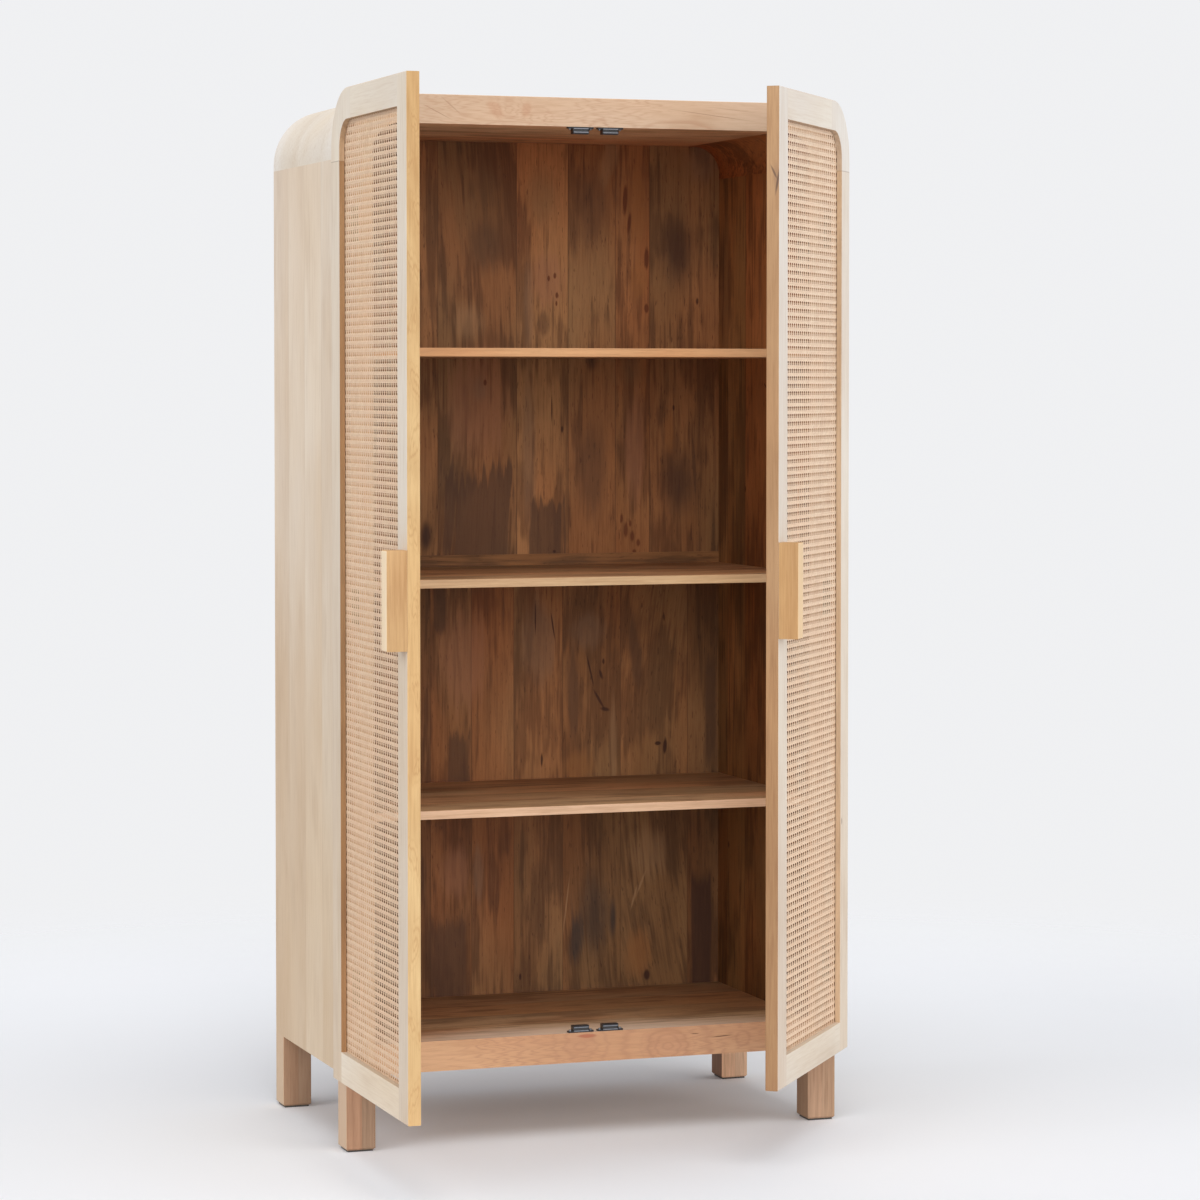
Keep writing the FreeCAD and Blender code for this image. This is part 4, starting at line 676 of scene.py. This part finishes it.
# Curls of the grain on the left meeting edge: shift from its middle, height, half length, turn
edgeCurls = [
    (3, 1716, 34, 28), (-4, 1655, 40, -24), (4, 1585, 46, 20), (-2, 1495, 60, 26), (-5, 1400, 52, -18),
    (4, 1310, 48, 24), (0, 1210, 66, -16), (-4, 1080, 60, 22), (4, 960, 54, -20), (-2, 830, 64, 18),
    (4, 700, 56, -24), (-3, 560, 62, 20), (2, 420, 58, -16), (-2, 290, 50, 22), (3, 180, 40, -20),
]
curl = {"middle": -12, "half": 15, "stretch": 1.2, "colour": tone(176, 128, 76)}
# On the doors, each foot value is painted shade, darkening the wood towards the floor
doorLooks = {
    "left": {
        "seed": 141.7,
        "limed": {"light": tone(234, 226, 214), "middle": tone(226, 213, 196), "foot": (0.76, 0.69, 0.62)},
        "edge": {
            "light": tone(214, 181, 130), "middle": tone(203, 167, 117), "dark": tone(168, 122, 72),
            "ring": 0.2,
        },
        "inner": {
            "light": tone(183, 147, 107), "middle": tone(164, 127, 88), "dark": tone(120, 87, 57),
            "foot": (0.86, 0.82, 0.78), "footEnds": (0.9, 0.4),
        },
        "arc": {"light": tone(192, 164, 132), "middle": tone(180, 150, 120), "dark": tone(130, 98, 70)},
        "handle": {"light": tone(242, 223, 194), "middle": tone(234, 210, 178)},
        "edgeMarks": [
            {"at": (curl["middle"] + shift, height), "size": (curl["half"], reach * curl["stretch"]),
             "turn": turn, "rings": 2.6, "colour": curl["colour"], "share": 0.42, "core": 0.1, "fray": 2.0}
            for shift, height, reach, turn in edgeCurls
        ],
        "frontMarks": [],
    },
    "right": {
        "seed": 163.9,
        "limed": {"light": tone(232, 227, 219), "middle": tone(224, 214, 203), "foot": (0.84, 0.77, 0.7)},
        "edge": {
            "light": tone(195, 157, 117), "middle": tone(182, 143, 104), "dark": tone(136, 94, 61),
            "foot": (0.8, 0.78, 0.75), "footEnds": (1.5, 0.6),
        },
        "inner": {"light": tone(210, 186, 157), "middle": tone(196, 171, 141), "dark": tone(150, 118, 90)},
        "arc": {"light": tone(210, 186, 160), "middle": tone(196, 171, 144), "dark": tone(150, 118, 90)},
        "handle": {"light": tone(236, 210, 172), "middle": tone(228, 198, 158)},
        "edgeMarks": [
            {"at": (-19, 1650), "size": (8, 36), "colour": tone(150, 116, 90),
             "share": 0.5, "core": 0.2, "fray": 0.8},
            {"at": (-20, 1642), "size": (2.8, 28), "turn": 9, "colour": tone(92, 70, 58), "share": 0.8},
            {"at": (-14, 1657), "size": (2.2, 18), "turn": -26, "colour": tone(96, 74, 62)},
        ],
        "frontMarks": [
            {"at": (-43.5, 538), "size": (3, 8), "colour": tone(110, 76, 54), "share": 0.8},
        ],
    },
}
seam = {
    "size": (40, 0.9), "colour": tone(128, 98, 72), "share": 0.7, "core": 0.6, "fray": 0.2, "square": True,
}
seamPlace = {"front": 26, "inner": -12}
frontSeamShare = 0.45
# Painted shade: the bottom rail's limed front darkens towards the floor
lowRailFootShade = (0.9, 0.87, 0.82)
doorSeedSteps = {"frame": 3, "beads": 17, "handle": 21}
beadStain = stained("bare", light=tone(206, 168, 130), middle=tone(190, 150, 114))
handleStain = stained("bare", light=tone(211, 176, 130), middle=tone(194, 155, 107), dark=tone(158, 115, 73),
                      ring=0.3)
for side, look in doorLooks.items():
    body = f"{side}_door"
    hand = 1 if side == "left" else -1
    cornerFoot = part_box(f"door_corner_{side}")[0].z / mm
    frontSeam = {**seam, "at": (seamPlace["front"] * hand, cornerFoot), "share": frontSeamShare}
    innerSeam = {**seam, "at": (seamPlace["inner"], cornerFoot)}
    limed = stained("limed", **look["limed"], marks={(0, 2): [frontSeam, *look["frontMarks"]]})
    lowLimed = {**limed, "foot": lowRailFootShade}
    edge = stained("bare", **look["edge"], marks={(1, 2): look["edgeMarks"]})
    inner = stained("bare", **look["inner"], marks={(1, 2): [innerSeam]})
    arc = stained("bare", **look["arc"])
    doorWoods = {
        "hinge_stile": (upright, [(roundCane(hand), inner)]),
        "meeting_stile": ({**upright, "tilt": 0.5}, []),
        "door_corner": (upright, [(roundCane(hand), arc)]),
        "top_rail": (levelFace, [(roundCane(hand), arc)]),
        "bottom_rail": (levelFace, [(onLedge, limed)]),
    }
    for number, (piece, (board, coats)) in enumerate(doorWoods.items()):
        name = side + piece.title().replace("_", "") + "Wood"
        board = {**board, "seed": look["seed"] + number * doorSeedSteps["frame"]}
        coats = [*coats, (onFront, lowLimed if piece == "bottom_rail" else limed)]
        wear(woodMaterial(name, body, board, edge, coats), f"{piece}_{side}")
    beadBoard = {**upright, "seed": look["seed"] + doorSeedSteps["beads"]}
    wear(woodMaterial(f"{side}BeadWood", body, beadBoard, beadStain), f"cane_beads_{side}")
    handleBoard = {**upright, "seed": look["seed"] + doorSeedSteps["handle"], "tilt": 0.6}
    handleCoats = [(onFront, stained("limed", **look["handle"], foot=(1.0, 1.0, 1.0)))]
    wear(woodMaterial(f"{side}HandleWood", body, handleBoard, handleStain, handleCoats), f"handle_{side}")
print("wood finished")


# Metal, plastic and hidden wood: one colour with a faint cloud in it
cloudy = {"detail": 3, "ends": (0.3, 0.7), "darker": 0.75, "dull": 0.2}


def plainMaterial(name, colour, rough, metal, grainScale):
    material, flow, shader = newMaterial(name)
    cloud = flow.make("ShaderNodeTexCoord", out=3).noise(grainScale, cloudy["detail"])
    darker = tuple(part * cloudy["darker"] for part in colour)
    feed(flow, shader, {
        "Base Color": cloud.rise(*cloudy["ends"]).mix(colour, darker),
        "Roughness": cloud * cloudy["dull"] + (rough - cloudy["dull"] / 2),
        "Metallic": metal,
    })
    return material


# Each finish: how its pieces' names start, then its colour, roughness, metal and its cloud's scale
hingePieces = (
    "side_leaves", "door_leaves", "hinge_pins", "side_leaf_screws", "door_leaf_screws", "handle_screws",
)
smallFinishes = {
    "blackPlastic": (("catch_housing",), (0.014, 0.014, 0.017), 0.3, 0.0, 400),
    "catchSteel": (("catch_poles", "catch_screws"), (0.3, 0.31, 0.34), 0.35, 1.0, 300),
    "brightSteel": (("strike_plates", "strike_screws"), (0.6, 0.6, 0.61), 0.3, 1.0, 300),
    "hingeBrass": (hingePieces, (0.5, 0.34, 0.19), 0.5, 0.7, 300),
    "ferrite": (("catch_magnets",), (0.05, 0.05, 0.052), 0.6, 0.0, 200),
    "glidePlastic": (("foot_glides",), (0.05, 0.045, 0.04), 0.6, 0.0, 300),
    "dowelWood": (("leg_dowels",), tone(205, 172, 130), 0.7, 0.0, 300),
}
for finish, (starts, *look) in smallFinishes.items():
    wear(plainMaterial(finish, *look), *[name for name in nodes if name.startswith(starts)])
print("small metal and plastic finished")

# Woven cane, lengths in metres: upright and level strands in pairs, single strands aslant
cane = {
    "pitch": 12.7 * mm,
    "pairGap": 2.5 * mm,
    "strand": 2.1 * mm,
    "slant": 2.3 * mm,
    "thick": 0.5 * mm,
    "lift": 0.28 * mm,
    "slantLift": 0.56 * mm,
    "over": 0.8 * mm,
    "slantOver": 2.9 * mm,
    "sheetDepth": 13 * mm,
    "cornerCuts": 8,
    "cornerRadius": 55 * mm,
    "edges": (44.8 * mm, 404.7 * mm),
    "merge": 0.02 * mm,
    "cutWithin": 0.001 * mm,
    "smooth": 70,
    "turns": {"uprights": 0, "levels": 90, "rising": 45, "falling": 135},
    "seedStep": 5.3,
}


def selectOnly(thing):
    bpy.ops.object.select_all(action="DESELECT")
    thing.select_set(True)
    bpy.context.view_layer.objects.active = thing


def applied(thing, kind, **settings):
    selectOnly(thing)
    modifier = thing.modifiers.new(kind.title(), kind)
    for key, value in settings.items():
        setattr(modifier, key, value)
    bpy.ops.object.modifier_apply(modifier=modifier.name)


def repeated(thing, count, step):
    applied(thing, "ARRAY", count=count, use_relative_offset=False, use_constant_offset=True,
            constant_offset_displace=step, use_merge_vertices=True, merge_threshold=cane["merge"])


# One repeat of a strand that runs up from its start, flat behind and ridged in front.
# Its path is a list of heights and of how far out it lies there.
# The first ring has three corners on a circle of radius 1, so it is sqrt(3) wide and 1.5 deep.
def strand(name, side, width, path):
    bpy.ops.object.select_all(action="DESELECT")
    bpy.ops.mesh.primitive_circle_add(vertices=3, radius=1, fill_type="NOTHING")
    piece = bpy.context.object
    piece.name = name
    bpy.ops.object.mode_set(mode="EDIT")
    bpy.ops.mesh.select_all(action="SELECT")
    bpy.ops.transform.rotate(value=math.pi, orient_axis="Z", center_override=(0, 0, 0))
    size = (width / math.sqrt(3), cane["thick"] / 1.5, 1)
    bpy.ops.transform.resize(value=size, center_override=(0, 0, 0))
    height, out = path[0]
    bpy.ops.transform.translate(value=(side, -out, height))
    for nextHeight, nextOut in path[1:]:
        bpy.ops.mesh.extrude_region_move(
            TRANSFORM_OT_translate={"value": (0, out - nextOut, nextHeight - height)}
        )
        height, out = nextHeight, nextOut
    bpy.ops.mesh.select_all(action="SELECT")
    bpy.ops.mesh.normals_make_consistent(inside=False)
    bpy.ops.object.mode_set(mode="OBJECT")
    return piece


def joined(first, second):
    selectOnly(first)
    second.select_set(True)
    bpy.ops.object.join()
    return first


def settle(thing, turn, place):
    selectOnly(thing)
    thing.rotation_euler = turn
    thing.location = place
    bpy.ops.object.transform_apply(location=True, rotation=True, scale=True)


# Upright pairs: where one strand lies over a level pair's first strand, its twin lies under
def pairedStrands(name, count):
    half, over, lift = cane["pairGap"] / 2, cane["over"], cane["lift"]
    heights = [-half - over, -half + over, half - over, half + over, cane["pitch"] - half - over]
    outs = [lift, lift, -lift, -lift, lift]
    first = strand(name, -half, cane["strand"], list(zip(heights, outs)))
    second = strand(name + "Twin", half, cane["strand"], [(h, -out) for h, out in zip(heights, outs)])
    pair = joined(first, second)
    repeated(pair, count, (0, 0, cane["pitch"]))
    return pair


def slantStrand(name, count, way):
    cell = cane["pitch"] * math.sqrt(2)
    over, lift = cane["slantOver"], cane["slantLift"] * way
    heights = [-over, over, cell / 2 - over, cell / 2 + over, cell - over]
    piece = strand(name, 0, cane["slant"], list(zip(heights, [lift, lift, -lift, -lift, lift])))
    repeated(piece, count, (0, 0, cell))
    return piece


def cutAway(thing, spot, outwards):
    selectOnly(thing)
    bpy.ops.object.mode_set(mode="EDIT")
    bpy.ops.mesh.select_all(action="SELECT")
    bpy.ops.mesh.bisect(plane_co=spot, plane_no=outwards, use_fill=True, clear_outer=True,
                        threshold=cane["cutWithin"])
    bpy.ops.object.mode_set(mode="OBJECT")


# The cane's colours, where its streaks and broad patches start and end, and the painted light on each door's
# cane, at its top and at its foot: it is painted lighter and cooler towards the top, and the right door's
# cane brighter than the left's
caneLook = {
    "pale": tone(226, 198, 168), "tan": tone(212, 178, 146),
    "patchScale": 430, "patchStretch": 0.02, "patchEnds": (0.35, 0.65),
    "streakColour": tone(176, 132, 98), "streakScale": 1900, "streakStretch": 0.05,
    "streakEnds": (0.55, 0.75), "streakShare": 0.4,
    "broadColour": tone(222, 184, 150), "broadScale": 9, "broadEnds": (0.4, 0.7), "broadShare": 0.35,
    "paintedLightEnds": (1.7, 0.3),
    "paintedLight": {
        "left": ((1.14, 1.18, 1.22), (1.0, 1.0, 1.0)),
        "right": ((1.2, 1.3, 1.42), (1.1, 1.13, 1.17)),
    },
    "bump": {"Strength": 0.2, "Distance": 0.2 * mm},
    "shine": {"Roughness": 0.45, "Specular IOR Level": 0.4},
}


def caneMaterial(name, side, turn, seed):
    look = caneLook
    material, flow, shader = newMaterial(name)
    spot = ownSpot(flow, f"{side}_door")
    inputs = {"Vector": spot, "Rotation": (0, turn, 0)}
    lanes = flow.make("ShaderNodeMapping", {"vector_type": "TEXTURE"}, inputs)
    patch = flow.vector("MULTIPLY_ADD", lanes, (1, 0, look["patchStretch"]), (seed, 0, 0))
    patch = patch.noise(look["patchScale"], 1).rise(*look["patchEnds"])
    streak = flow.vector("MULTIPLY", lanes, (1, 0, look["streakStretch"])).noise(look["streakScale"], 2)
    broad = spot.noise(look["broadScale"], 2).rise(*look["broadEnds"])
    colour = patch.mix(look["pale"], look["tan"])
    streaks = streak.rise(*look["streakEnds"]) * look["streakShare"]
    colour = streaks.mix(colour, look["streakColour"])
    colour = (broad * look["broadShare"]).mix(colour, look["broadColour"])
    # Painted light: the cane is brightened towards the top, the right door's more than the left's
    paintedLight = spot.parts()[2].rise(*look["paintedLightEnds"]).mix(*look["paintedLight"][side])
    bump = flow.make("ShaderNodeBump", None, {**look["bump"], "Height": streak})
    feed(flow, shader, {
        "Base Color": flow.vector("MULTIPLY", colour, paintedLight), "Normal": bump, **look["shine"],
    })
    return material


def weave(side):
    body = f"{side}_door"
    place = places[body]
    hand = 1 if side == "left" else -1
    low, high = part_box(f"cane_panel_{side}")
    pitch = cane["pitch"]
    depth = -cane["sheetDepth"]
    left, right = sorted(edge * hand for edge in cane["edges"])
    columns = math.ceil((right - left) / 2 / pitch)
    rows = math.ceil((high.z - low.z) / pitch) + 1
    start = Vector(((left + right) / 2 - columns * pitch, depth, low.z - pitch / 2))
    cells = 2 * columns + 1

    uprights = pairedStrands(f"cane_uprights_{side}", rows + 1)
    settle(uprights, (0, 0, 0), start)
    repeated(uprights, cells, (pitch, 0, 0))
    levels = pairedStrands(f"cane_levels_{side}", cells)
    settle(levels, (0, math.pi / 2, 0), start)
    repeated(levels, rows + 1, (0, 0, pitch))
    rising = slantStrand(f"cane_rising_{side}", cells, -1)
    settle(rising, (0, math.pi / 4, 0), start + Vector((0, 0, (0.5 - cells) * pitch)))
    repeated(rising, rows + cells + 1, (0, 0, pitch))
    falling = slantStrand(f"cane_falling_{side}", cells, 1)
    settle(falling, (0, 3 * math.pi / 4, 0), start + Vector((0, 0, 0.5 * pitch)))
    repeated(falling, rows + cells + 1, (0, 0, pitch))

    outer = left if side == "left" else right
    radius = cane["cornerRadius"]
    centre = Vector((outer + hand * radius, depth, high.z - radius))
    families = {"uprights": uprights, "levels": levels, "rising": rising, "falling": falling}
    for number, (family, thing) in enumerate(families.items()):
        cutAway(thing, (left, 0, 0), (-1, 0, 0))
        cutAway(thing, (right, 0, 0), (1, 0, 0))
        cutAway(thing, (0, 0, low.z), (0, 0, -1))
        cutAway(thing, (0, 0, high.z), (0, 0, 1))
        for cut in range(cane["cornerCuts"]):
            angle = math.radians(90 * (cut + 0.5) / cane["cornerCuts"])
            way = Vector((-hand * math.cos(angle), 0, math.sin(angle)))
            cutAway(thing, centre + way * radius, way)
        settle(thing, (0, 0, place["turn"]), place["pin"])
        selectOnly(thing)
        bpy.ops.object.shade_smooth_by_angle(angle=math.radians(cane["smooth"]))
        turn = math.radians(cane["turns"][family])
        seed = number * cane["seedStep"] + hand
        thing.data.materials.append(caneMaterial(f"{side}Cane{family.title()}", side, turn, seed))
        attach(thing, body)
        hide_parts(f"cane_panel_{side}")
        print("cane", side, family, len(thing.data.polygons), "faces")


for side in ("left", "right"):
    weave(side)

# Camera: it looks down a little, and the lens is shifted for the rest of the photo's framing
view = {
    "place": (-2.1432, -6.2074, 1.3081),
    "yaw": 19.31,
    "pitch": 2.0,
    "focalPixels": 3793.6,
    "middlePixel": 516.1,
    "framePixels": 1200,
    "sensor": 36,
}
camera = bpy.data.objects.new("Camera", bpy.data.cameras.new("Camera"))
scene.collection.objects.link(camera)
scene.camera = camera
camera.location = view["place"]
camera.rotation_euler = (math.radians(90 - view["pitch"]), 0, -math.radians(view["yaw"]))
camera.data.sensor_width = view["sensor"]
camera.data.lens = view["sensor"] * view["focalPixels"] / view["framePixels"]
camera.data.shift_y = (view["middlePixel"] - view["framePixels"] / 2) / view["framePixels"]

# Studio: pale room, soft lamps, and a floor that fades into the background
studio = {
    "shown": (0.87, 0.875, 0.89),
    "light": (0.45, 0.45, 0.46),
    "floor": (0.85, 0.868, 0.9),
    "floorSize": 30,
    "floorCloud": 1.5,
    "floorDarker": 0.98,
    "floorDull": 0.85,
    "fade": (1.6, 3.4),
}
scene.view_settings.view_transform = "Standard"
scene.world = bpy.data.worlds.new("Studio")
scene.world.use_nodes = True
room = Flow(scene.world.node_tree)
rays = room.make("ShaderNodeLightPath").socket.node.outputs
seen = Flow(room.tree, rays["Is Camera Ray"])
for kind in ("Is Glossy Ray", "Is Transmission Ray"):
    seen = seen.most(Flow(room.tree, rays[kind]))
sky = room.tree.nodes["Background"]
room.tree.links.new(seen.mix(studio["light"], studio["shown"]).socket, sky.inputs["Color"])

bpy.ops.object.select_all(action="DESELECT")
bpy.ops.mesh.primitive_plane_add(size=studio["floorSize"], location=(0, 0, 0))
ground = bpy.context.object
ground.name = "floor"
material, flow, shader = newMaterial("floorPaint")
spot = flow.make("ShaderNodeTexCoord", out=3)
darker = tuple(part * studio["floorDarker"] for part in studio["floor"])
feed(flow, shader, {
    "Base Color": spot.noise(studio["floorCloud"]).mix(studio["floor"], darker),
    "Roughness": studio["floorDull"],
})
level = flow.vector("MULTIPLY", spot, (1, 1, 0))
far = flow.vector("LENGTH", level, out="Value").rise(*studio["fade"])
clear = flow.make("ShaderNodeBsdfTransparent")
blend = flow.make("ShaderNodeMixShader", None, {0: far, 1: Flow(flow.tree, shader.outputs[0]), 2: clear})
output = next(node for node in flow.tree.nodes if node.type == "OUTPUT_MATERIAL")
flow.tree.links.new(blend.socket, output.inputs["Surface"])
ground.data.materials.append(material)

# Each lamp: the way its light goes, how wide it is in degrees, and its strength
lamps = {
    "windowFront": ((0.25, 1.0, -0.28), 35, 0.98),
    "windowLeft": ((1.0, 0.3, -0.45), 50, 1.1),
    "windowRight": ((-0.9, 0.5, -0.2), 60, 1.1),
    "ceiling": ((0.05, 0.4, -1.0), 40, 1.0),
}
for name, (towards, spread, strength) in lamps.items():
    light = bpy.data.lights.new(name, "SUN")
    light.angle = math.radians(spread)
    light.energy = strength
    thing = bpy.data.objects.new(name, light)
    scene.collection.objects.link(thing)
    thing.rotation_euler = Vector(towards).to_track_quat("-Z", "Y").to_euler()
print("camera, floor and lamps set")
